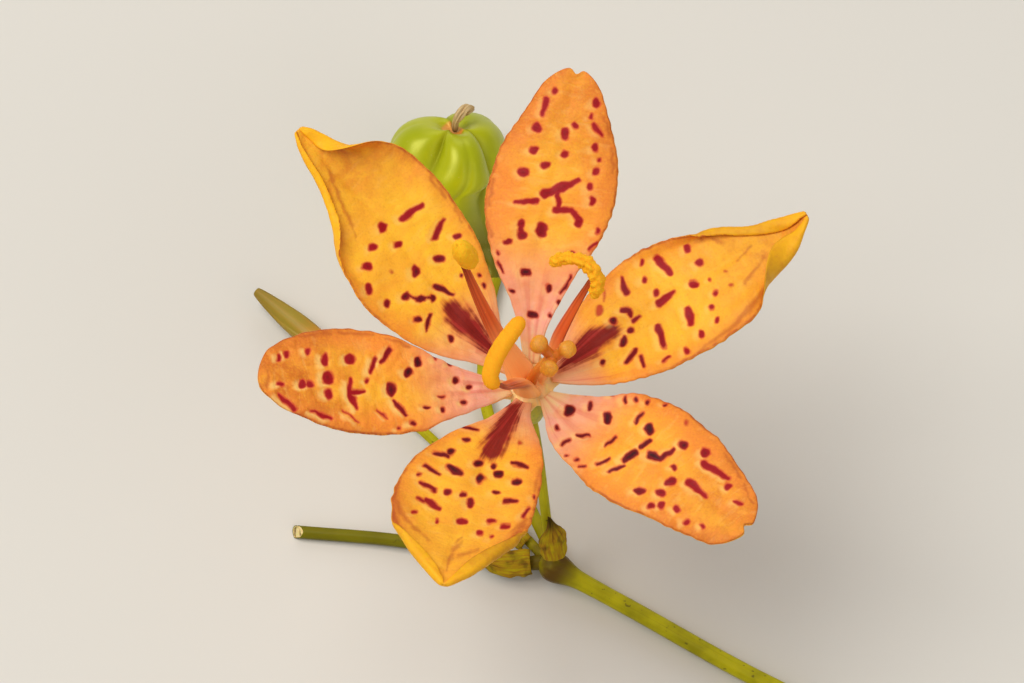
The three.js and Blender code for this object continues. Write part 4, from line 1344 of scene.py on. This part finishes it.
OVARY_LENGTH = 6.6
CONE_HEIGHT = 0.9
LOBES_TURNED = 47
RECEPTACLE_RADIUS = 3.1
BLOOM_PEDICEL_PATH = [(0, 0, 23.8), (0.4, -0.4, 21), (0.9, -1.0, 15), (1.5, -3.2, 8.5), (2.1, -5.95, 3.0)]
STEM_PATH = [
    (1.1, -5.9, 2.3), (2.7, -6.7, 1.9), (10, -10.8, 1.4), (22.5, -18.1, 1.1), (38, -25.5, 0.95), (54, -30, 0.75),
]
CUT_PEDICEL_PATH = [(1.7, -6.15, 2.1), (-2.3, -6.0, 1.4), (-11.6, -3.6, 0.9), (-23.1, -2.3, 0.55)]
BUD_PEDICEL_PATH = [(1.5, -5.6, 1.9), (-4, 0.9, 1.2), (-10.3, 7.9, 1.4), (-17.6, 13.8, 2.1)]
CAPSULE_PEDICEL_PATH = [(2.3, -5.4, 2.2), (-0.8, 2.0, 1.4), (-4.1, 10.5, 1.0), (-4.4, 18, 0.9), (-3.4, 24.8, 1.0)]
BUD_PATH = [(-17.4, 13.6, 2.1), (-22, 18.2, 2.2), (-27.1, 22.8, 2.3)]
CAPSULE_PATH = [(-3.4, 24.6, 1.0), (-5.0, 28.5, 2.0), (-7.9, 33.1, 6.2), (-7.4, 37.0, 11.2)]
REMNANT_PATH = [(-7.3, 36.6, 10.6), (-7.2, 37.0, 11.7), (-6.5, 37.8, 12.3), (-5.4, 38.3, 12.0)]
STUB_CUT = {"at": (-22.5, -2.3, 0.6), "facing": (-0.75, -0.2, 0.65)}
STEM_RADIUS = 0.85
JOINT_RADIUS = 1.5
JOINT_PLACE = (1.7, -6.2, 2.2)
BLOOM_PEDICEL_RADIUS = 0.5
CAPSULE_PEDICEL_RADIUS = 0.6
BUD_PEDICEL_RADIUS = 0.5
CUT_PEDICEL_RADIUS = 0.65
STEM_RIBS = 9
JOINT_REACH = (4.2, 1.2)  # its brown fades out from the second distance to the first
RIND_THICKNESS = 0.09
PITH_RIM = 0.15
PITH_DEPTH = 0.03
STEM_TRIM = 0.15  # what is cut off its end, so that the cut is flat
PEDICEL_GRID = (36, 160)
STUB_GRID = (40, 160)
STEM_GRID = (56, 260)
OVARY_GRID = (96, 80)


def stem_material(colours, name="stem", shade=0.0):
    """Green skin with fine ribs along it, paler flecks and a few brown specks."""
    surface = Surface(name)
    fibres = surface.noise(surface.sheet(30, 4), detail=4, roughness=0.6)
    patches = surface.noise(surface.place(0.35), detail=3)
    specks = surface.noise(surface.place(2.4), detail=2, roughness=0.3)
    colour = surface.mix(patches.step(0.3, 0.75) * 0.5, colours.green, colours.green_dark)
    colour = surface.mix(fibres.step(0.5, 0.75) * 0.35, colour, colours.capsule)
    colour = surface.mix(fibres.step(0.45, 0.25) * 0.4, colour, colours.green_dark)
    colour = surface.mix(specks.step(0.68, 0.76) * 0.6, colour, colours.bract_dark)
    colour = surface.mix(shade, colour, colours.green_dark)
    joint = surface.attribute("joint") * (0.45 + 0.55 * patches.step(0.3, 0.6))
    colour = surface.mix(joint, colour, colours.joint)
    normal = surface.bump(fibres, 0.35, 0.06)
    soft = {"Subsurface Weight": 0.04, "Subsurface Scale": 0.3 * MM, "Specular IOR Level": 0.15}
    return surface.finish(colour, 0.5, normal, soft)


def ribbed(depth, ribs):
    """Ribs that wind slowly round a stalk, as what its radius is multiplied by."""

    def swell(angle, share):
        return 1 - depth * (0.5 - 0.5 * np.cos(ribs * angle + 1.5 * share))

    return swell


def near_joint(path):
    """How near each place of a tube along the path is to the joint of the stem, as the tube's values."""
    course = Path(path)

    def values(angle, share):
        away = np.linalg.norm(course.at(share) - np.array(JOINT_PLACE), axis=1)
        return {"joint": smoothstep(away, *JOINT_REACH)}

    return values


def pithy_cut(shape, at, facing):
    """Cuts a bmesh off by a plane, fills the cut and gives its inner face the second material."""
    place = Vector((np.array(at) + BLOOM_AXIS) * MM)
    whole = shape.verts[:] + shape.edges[:] + shape.faces[:]
    bmesh.ops.bisect_plane(shape, geom=whole, plane_co=place, plane_no=facing, clear_outer=True)
    rim = [edge for edge in shape.edges if edge.is_boundary]
    filled = bmesh.ops.holes_fill(shape, edges=rim)["faces"]
    bmesh.ops.inset_region(shape, faces=filled, thickness=RIND_THICKNESS * MM)
    inner = bmesh.ops.inset_region(shape, faces=filled, thickness=PITH_RIM * MM, depth=PITH_DEPTH * MM)["faces"]
    for face in filled + inner:
        face.material_index = 1
        face.smooth = False
    return shape


def pith_material(colours):
    surface = Surface("pith")
    pores = surface.noise(surface.place(5.0), detail=3)
    colour = surface.mix(pores.step(0.35, 0.7) * 0.45, colours.pith, colours.green)
    soft = {"Subsurface Weight": 0.2, "Subsurface Scale": 0.3 * MM}
    return surface.finish(colour, 0.7, surface.bump(pores, 0.4, 0.04), soft)


class LILY_OT_stems(bpy.types.Operator):
    """Builds the ovary, the stem with its joint and the four pedicels"""

    bl_idname = "lily.stems"
    bl_label = "Stem and pedicels"

    def execute(self, context):
        colours = context.scene.lily_colours
        skin_green = stem_material(colours)
        pith = pith_material(colours)

        piece("ovary_and_receptacle", ovary(), [ovary_material(colours)], "ovary", "ovary")

        stalks = {
            "bloom_pedicel": (BLOOM_PEDICEL_PATH, BLOOM_PEDICEL_RADIUS),
            "capsule_pedicel": (CAPSULE_PEDICEL_PATH, CAPSULE_PEDICEL_RADIUS),
            "bud_pedicel": (BUD_PEDICEL_PATH, BUD_PEDICEL_RADIUS),
        }
        for name, (path, radius) in stalks.items():
            profile = straight_profile(radius, swellings=[(0, 0.03, 0.15), (1, 0.04, 0.2)])
            form = tube(path, profile, PEDICEL_GRID, swell=ribbed(0.05, 5), values=near_joint(path))
            piece(name + "_skin", form, [skin_green], "stem", name)

        profile = straight_profile(CUT_PEDICEL_RADIUS, swellings=[(0.02, 0.05, 0.15)])
        near = near_joint(CUT_PEDICEL_PATH)
        stub = tube(CUT_PEDICEL_PATH, profile, STUB_GRID, swell=ribbed(0.05, 6), values=near)
        pithy_cut(stub, STUB_CUT["at"], STUB_CUT["facing"])
        piece("cut_pedicel_skin", stub, [stem_material(colours, "stub", 0.82), pith], "stem", "cut_pedicel")

        shares = [0, 0, 0.004, 0.012, 0.022, 0.035, 0.045, 0.055, 0.065, 0.08, 0.12, *np.linspace(0.16, 1, 20), 1]
        radii = [0, 0.6, 0.85, 1.25, JOINT_RADIUS, JOINT_RADIUS * 0.98, 1.3, 1.12, 0.98, 0.9]
        radii += [STEM_RADIUS] * (len(shares) - len(radii) - 1) + [0]
        near = near_joint(STEM_PATH)
        profile = list(zip(shares, radii))
        main = tube(STEM_PATH, profile, STEM_GRID, swell=ribbed(0.045, STEM_RIBS), values=near)
        end = np.array(STEM_PATH[-1])
        along_stem = Path(STEM_PATH).tangent(np.array([1.0]))[0]
        pithy_cut(main, end - along_stem * STEM_TRIM, along_stem)
        piece("main_stem_skin", main, [skin_green, pith], "stem", "main_stem")
        return {"FINISHED"}


def ovary():
    """The ovary with its neck, and the receptacle: six lobes under the claws, and a low cone in their middle."""
    outline = [
        (0, 0), (0, 0.7), (0.07, 1.15), (0.16, 1.55), (0.26, 1.72), (0.37, 1.78), (0.47, 1.72), (0.56, 1.5),
        (0.65, 1.22), (0.72, 1.25), (0.78, 1.9), (0.84, 2.7), (0.875, RECEPTACLE_RADIUS), (0.9, 3.0), (0.915, 2.4),
        (0.935, 1.8), (0.965, 1.3), (0.99, 0.8), (1, 0.4), (1, 0),
    ]

    def lobe_at(angle):
        return 0.5 + 0.5 * np.cos(6 * (angle - math.radians(LOBES_TURNED)))

    def swell(angle, share):
        chambers = 0.1 * np.cos(1.5 * angle) ** 6 * smoothstep(share, 0.05, 0.2) * smoothstep(share, 0.7, 0.55)
        between = 0.3 * (1 - lobe_at(angle)) * smoothstep(share, 0.72, 0.82) * smoothstep(share, 0.97, 0.9)
        return 1 - chambers - between

    path = [(0, 0, BLOOM_HEIGHT - OVARY_LENGTH), (0, 0, BLOOM_HEIGHT + CONE_HEIGHT)]

    def values(angle, share):
        return {"lobe": lobe_at(angle)}

    return tube(path, outline, OVARY_GRID, (0, 1, 0), swell=swell, values=values)


def ovary_material(colours):
    surface = Surface("ovary")
    height = surface.attribute("along")
    flecks = surface.noise(surface.place(1.2), detail=3)
    rays = surface.noise(surface.sheet(40, 2), detail=3)
    colour = surface.mix(flecks.step(0.3, 0.7) * 0.5, colours.green, colours.green_dark)
    colour = surface.mix(height.step(0.7, 0.82), colour, colours.petal_pale)
    colour = surface.mix(height.step(0.8, 0.85) * surface.attribute("lobe") * 0.15, colour, colours.petal_pink)
    colour = surface.mix(height.step(0.82, 0.86) * rays.step(0.45, 0.6) * 0.5, colour, colours.pith)
    colour = surface.mix(height.step(0.93, 0.98), colour, colours.filament_pale)
    normal = surface.bump(rays, 0.5, 0.1, surface.bump(flecks, 0.2, 0.08))
    return surface.finish(colour, 0.4, normal, {"Subsurface Weight": 0.15, "Subsurface Scale": 0.4 * MM})


# Capsule with the withered flower, and the bud

CAPSULE_RADIUS = 6.1
CAPSULE_GROOVE = 0.2
CAPSULE_CROWN_GROOVE = 0.3
CAPSULE_SHOULDERS = [(75, 0.04), (200, 0.02), (325, 0.3)]  # bearings of the lobes' tops, and their gain in radius
CAPSULE_GROOVES = [15, 152, 237]
REMNANT_RADIUS = 0.62
BUD_RADIUS = 1.25
CAPSULE_GRID = (144, 130)
REMNANT_GRID = (72, 90)
BUD_GRID = (120, 90)


def capsule_lobes(angle, share):
    """What the capsule's radius is multiplied by: three rounded lobes, each with a shallow line down its middle."""
    bearing = (np.degrees(angle) - CAPSULE_GROOVES[0]) % 360
    bounds = np.array([groove - CAPSULE_GROOVES[0] for groove in CAPSULE_GROOVES] + [360])
    i = np.clip(np.searchsorted(bounds, bearing, side="right") - 1, 0, 2)
    within = (bearing - bounds[i]) / (bounds[i + 1] - bounds[i])
    depth = CAPSULE_GROOVE * smoothstep(share, 0.1, 0.6) + CAPSULE_CROWN_GROOVE * smoothstep(share, 0.72, 0.93)
    ridge = 1 - depth * (1 - np.sin(np.pi * within)) ** 1.5
    line = 0.03 * np.exp(-(((within - 0.5) / 0.045) ** 2)) * smoothstep(share, 0.25, 0.6)
    raised = sum(
        gain * np.exp(-((((np.degrees(angle) - at + 180) % 360 - 180) / 38) ** 2)) for at, gain in CAPSULE_SHOULDERS
    )
    return ridge - line + raised * smoothstep(share, 0.62, 0.9)


def capsule_material(colours):
    surface = Surface("capsule")
    length = surface.attribute("along")
    ring = surface.attribute("ring")
    patches = surface.noise(surface.place(0.25), detail=3)
    flecks = surface.noise(surface.place(2.2), detail=3, roughness=0.65)
    colour = surface.mix(patches.step(0.35, 0.7) * 0.6, colours.capsule, colours.capsule_yellow)
    colour = surface.mix(length.step(0.66, 0.12), colour, colours.capsule_dark)
    # Painted shade: a darker green down the grooves.
    colour = surface.mix(surface.attribute("groove") * 0.4, colour, colours.green_dark)
    colour = surface.mix(flecks.step(0.62, 0.75) * 0.15, colour, colours.pith)
    colour = surface.mix(ring, colour, colours.capsule_ring)
    normal = surface.bump(patches, 0.12, 0.3, surface.bump(flecks, 0.08, 0.03))
    waxy = {"Specular IOR Level": 1.0, "Specular Tint": (1, 0.97, 0.3, 1)}
    return surface.finish(colour, 0.34 + 0.4 * surface.attribute("groove"), normal, waxy)


def capsule():
    profile = [
        (0, 0), (0, 0.1), (0.02, 0.125), (0.1, 0.17), (0.2, 0.32), (0.3, 0.52), (0.4, 0.71), (0.5, 0.86), (0.6, 0.95),
        (0.7, 1), (0.8, 0.97), (0.9, 0.84), (0.96, 0.66), (0.985, 0.46), (0.98, 0.3), (0.965, 0.22), (0.955, 0.15),
        (0.95, 0),
    ]
    scaled = [(share, radius * CAPSULE_RADIUS) for share, radius in profile]
    path = Path(CAPSULE_PATH)

    def place_values(angle, share):
        bearing = (np.degrees(angle) - CAPSULE_GROOVES[0]) % 360
        bounds = [groove - CAPSULE_GROOVES[0] for groove in CAPSULE_GROOVES] + [360]
        near = np.min([np.abs(bearing - bound) for bound in bounds], axis=0)
        return {"groove": np.exp(-((near / 7) ** 2)) * smoothstep(share, 0.3, 0.6)}

    form = tube(path, scaled, CAPSULE_GRID, (0, 1, 0), swell=capsule_lobes, values=place_values)
    top = Vector((path.at(np.array([0.96]))[0] + BLOOM_AXIS) * MM)
    axis = Vector(path.tangent(np.array([1.0]))[0])
    ring = form.verts.layers.float.new("ring")
    for vertex in form.verts:
        away = vertex.co - top
        across = (away - axis * away.dot(axis)).length / MM
        vertex[ring] = float(smoothstep(np.array(-across), -1.35, -1.0)) * (1 if away.dot(axis) > -2 * MM else 0)
    return form


def dry_material(colours):
    surface = Surface("dry")
    creases = surface.noise(surface.sheet(14, 3), detail=4, roughness=0.6)
    spots = surface.noise(surface.place(2.5), detail=3)
    colour = surface.mix(creases.step(0.3, 0.55), colours.bract, colours.dry)
    colour = surface.mix(surface.attribute("along").step(0.3, 0.0) * 0.8, colour, colours.bract_dark)
    colour = surface.mix(spots.step(0.55, 0.8) * 0.4, colour, colours.pith)
    return surface.finish(colour, 0.85, surface.bump(creases, 0.7, 0.1))


def remnant():
    """The withered flower: a twisted, flattened strand with a frayed end."""
    profile = [
        (0, 0), (0, 0.6), (0.2, 0.75), (0.4, 0.85), (0.6, 1.0), (0.75, 0.95), (0.88, 0.7), (0.96, 0.5), (1, 0.3),
        (1, 0),
    ]
    scaled = [(share, radius * REMNANT_RADIUS) for share, radius in profile]

    def crumple(angle, share):
        folds = 0.2 * np.sin(3 * angle + 4 * share) + 0.12 * np.sin(7 * angle - 5 * share)
        return 0.95 + folds * smoothstep(share, 0.05, 0.4) + 0.08 * np.sin(share * 17)

    return tube(REMNANT_PATH, scaled, REMNANT_GRID, (1, 0, 0), 0.75, crumple)


def bud_material(colours):
    surface = Surface("bud")
    tip = surface.attribute("along")
    fibres = surface.noise(surface.sheet(18, 3), detail=3)
    colour = surface.mix(tip.step(0.3, 0.6), colours.petal_orange, colours.green)
    colour = surface.mix(fibres.step(0.4, 0.7) * 0.4, colour, colours.petal_under)
    colour = surface.mix(tip.step(0.3, 0.55) * 0.45 + 0.15 + tip.step(0.6, 1.0) * 0.15, colour, colours.green_dark)
    colour = surface.mix(0.15, colour, colours.petal_brown)
    soft = {"Subsurface Weight": 0.1, "Subsurface Scale": 0.5 * MM}
    return surface.finish(colour, 0.55, surface.bump(fibres, 0.4, 0.08), soft)


def bud():
    """A closed bud, its tepals rolled over each other in a slow twist."""
    radii = [0.4, 0.75, 0.95, 1, 0.92, 0.7, 0.35]
    inner = [(i / (len(radii) - 1), radius * BUD_RADIUS) for i, radius in enumerate(radii)]
    profile = [(0, 0), *inner, (1, 0)]

    def furled(angle, share):
        turned = (3 * (angle + 1.6 * share) / math.tau) % 1.0
        return 0.93 + 0.1 * turned - 0.1 * smoothstep(turned, 0.93, 1.0)

    return tube(BUD_PATH, profile, BUD_GRID, swell=furled)


class LILY_OT_capsule(bpy.types.Operator):
    """Builds the seed capsule with the withered flower in its pit, and the bud"""

    bl_idname = "lily.capsule"
    bl_label = "Capsule and bud"

    def execute(self, context):
        colours = context.scene.lily_colours
        piece("capsule_skin", capsule(), [capsule_material(colours)], "capsule", "capsule")
        piece("withered_remains", remnant(), [dry_material(colours)], "withered_flower", "withered_flower")
        piece("bud_skin", bud(), [bud_material(colours)], "bud", "bud")
        return {"FINISHED"}


# Bracts

BRACTS = {
    "bract_at_bloom": {
        "path": [(2.3, -6.1, 4.3), (2.0, -5.0, 6.2), (1.6, -3.9, 8.6)],
        "radius": [1.25, 1.35, 0.9],
        "spread": [80, 80, 12],
        "facing": (0.5, -0.9, 0.2),
    },
    "bract_at_cut_pedicel": {
        "path": [(0.3, -6.0, 1.9), (-2.2, -6.0, 1.5), (-5.0, -5.4, 1.3)],
        "radius": [1.3, 1.35, 1.1],
        "spread": [75, 70, 12],
        "facing": (0, -0.5, 0.9),
    },
    "bract_at_bud_pedicel": {
        "path": [(0.1, -4.0, 1.5), (-1.1, -2.6, 1.4), (-2.6, -0.8, 1.4)],
        "radius": [1.1, 1.15, 1.0],
        "spread": [60, 60, 12],
        "facing": (-0.6, -0.4, 0.7),
    },
}


BRACT_GRID = (100, 60)


def bract_material(colours):
    surface = Surface("bract")
    tip = surface.attribute("along")
    fibres = surface.noise(surface.sheet(40, 2), detail=4, roughness=0.6)
    blotches = surface.noise(surface.place(0.7), detail=3)
    colour = surface.mix(fibres.step(0.4, 0.65) * 0.6, colours.bract, colours.green)
    colour = surface.mix(fibres.step(0.45, 0.3) * 0.7, colour, colours.bract_dark)
    colour = surface.mix(blotches.step(0.5, 0.7) * 0.6, colour, colours.bract_dark)
    colour = surface.mix(tip.step(0.6, 0.95) * 0.8, colour, colours.bract_dark)
    return surface.finish(colour, 0.8, surface.bump(fibres, 0.6, 0.08), {"Specular IOR Level": 0.1})


def bract_surface(shape):
    path = Path(shape["path"])
    back = np.array(shape["facing"], float)

    def place(u, v):
        tangent = path.tangent(u)
        out = unit(back - tangent * dot(back, tangent))
        side = np.cross(tangent, out)
        turned = v * np.radians(along(shape["spread"], u))
        away = out * np.cos(turned)[:, None] + side * np.sin(turned)[:, None]
        ragged = 1 + 0.05 * ripples(u * 5, v * 2, 1.1, 7) + 0.05 * np.cos(v * 9) * u
        at = path.at(u) + away * (along(shape["radius"], u) * ragged)[:, None]
        frayed = smoothstep(u, 0.75, 1) * ripples(v * 6, u * 0, 1.3, 11) * 0.35
        return at + tangent * frayed[:, None], -away, {"along": u}

    return place


class LILY_OT_bracts(bpy.types.Operator):
    """Builds the three papery bracts round the joint of the stem"""

    bl_idname = "lily.bracts"
    bl_label = "Bracts"

    def execute(self, context):
        paper = bract_material(context.scene.lily_colours)
        thickness = context.scene.lily_sizes.bract_thickness / MM
        for name, shape in BRACTS.items():
            form = blade(bract_surface(shape), thickness, BRACT_GRID)
            piece(name + "_paper", form, [paper], "bract", name)
        return {"FINISHED"}


# Stage

CLIP_START = 0.01  # metres
FLOOR_SIZE = 1.5  # metres
FLOOR_MOTTLE = (0.5, 0.48, 0.45)
STUDIO_COLOUR = (1, 0.98, 0.95, 1)
STUDIO_STRENGTH = 0.36
LIGHTS = {  # place and size in metres, power in watts, and colour
    "key": ((-0.32, 0.05, 0.7), 0.5, 4.2, (1.0, 0.98, 0.94)),
    "fill": ((0.4, -0.45, 0.5), 0.7, 1.3, (0.97, 0.98, 1.0)),
    "rim": ((0.1, 0.7, 0.45), 0.5, 0.9, (1.0, 1.0, 1.0)),
}


class LILY_OT_stage(bpy.types.Operator):
    """Sets up the camera, the plain floor and the soft studio light"""

    bl_idname = "lily.stage"
    bl_label = "Stage"

    def execute(self, context):
        scene = context.scene
        camera = bpy.data.objects.new("camera", bpy.data.cameras.new("camera"))
        camera.data.sensor_width = SENSOR_WIDTH
        camera.data.lens = FOCAL_PIXELS / IMAGE_WIDTH * SENSOR_WIDTH
        camera.data.clip_start = CLIP_START
        turned = Matrix([VIEW_RIGHT, VIEW_UP, VIEW_BACK]).transposed().to_4x4()
        camera.matrix_world = Matrix.Translation((CAMERA_PLACE + BLOOM_AXIS) * MM) @ turned
        scene.collection.objects.link(camera)
        scene.camera = camera

        shape = bmesh.new()
        bmesh.ops.create_grid(shape, x_segments=1, y_segments=1, size=FLOOR_SIZE)
        mesh = bpy.data.meshes.new("floor")
        shape.to_mesh(mesh)
        shape.free()
        floor = bpy.data.objects.new("floor", mesh)
        surface = Surface("floor")
        grain = surface.noise(surface.place(0.02), detail=2)
        colour = surface.mix(grain * 0.1, scene.lily_colours.floor, FLOOR_MOTTLE)
        mesh.materials.append(surface.finish(colour, 0.85))
        scene.collection.objects.link(floor)

        for name, settings in LIGHTS.items():
            self.light(name, *settings)
        world = bpy.data.worlds.new("studio")
        world.use_nodes = True
        background = world.node_tree.nodes["Background"]
        background.inputs["Color"].default_value = STUDIO_COLOUR
        background.inputs["Strength"].default_value = STUDIO_STRENGTH
        scene.world = world
        scene.view_settings.view_transform = "Standard"
        return {"FINISHED"}

    def light(self, name, place, size, power, colour):
        data = bpy.data.lights.new(name, "AREA")
        data.size = size
        data.energy = power
        data.color = colour
        made = bpy.data.objects.new(name, data)
        made.location = place
        target = Vector((BLOOM_AXIS[0] * MM, BLOOM_AXIS[1] * MM, BLOOM_HEIGHT * MM))
        made.rotation_euler = (Vector(place) - target).to_track_quat("Z", "Y").to_euler()
        bpy.context.scene.collection.objects.link(made)


class LILY_PT_panel(bpy.types.Panel):
    """The flower's tools and settings"""

    bl_label = "Bramble lily"
    bl_space_type = "VIEW_3D"
    bl_region_type = "UI"
    bl_category = "Lily"

    def draw(self, context):
        for operator in OPERATORS:
            self.layout.operator(operator.bl_idname)
        for group in (context.scene.lily_sizes, context.scene.lily_colours):
            for key in group.__annotations__:
                self.layout.prop(group, key)


OPERATORS = [
    LILY_OT_stage, LILY_OT_tepals, LILY_OT_stamens, LILY_OT_style, LILY_OT_stems, LILY_OT_capsule, LILY_OT_bracts,
]
CLASSES = [LilyColours, LilySizes, *OPERATORS, LILY_PT_panel]


def register():
    for made in CLASSES:
        bpy.utils.register_class(made)
    bpy.types.Scene.lily_colours = bpy.props.PointerProperty(type=LilyColours)
    bpy.types.Scene.lily_sizes = bpy.props.PointerProperty(type=LilySizes)


def unregister():
    del bpy.types.Scene.lily_sizes
    del bpy.types.Scene.lily_colours
    for made in reversed(CLASSES):
        bpy.utils.unregister_class(made)


def main():
    register()
    bpy.ops.lily.stage()
    bpy.ops.lily.tepals()
    bpy.ops.lily.stamens()
    bpy.ops.lily.style()
    bpy.ops.lily.stems()
    bpy.ops.lily.capsule()
    bpy.ops.lily.bracts()
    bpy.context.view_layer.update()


if __name__ == "__main__":
    main()
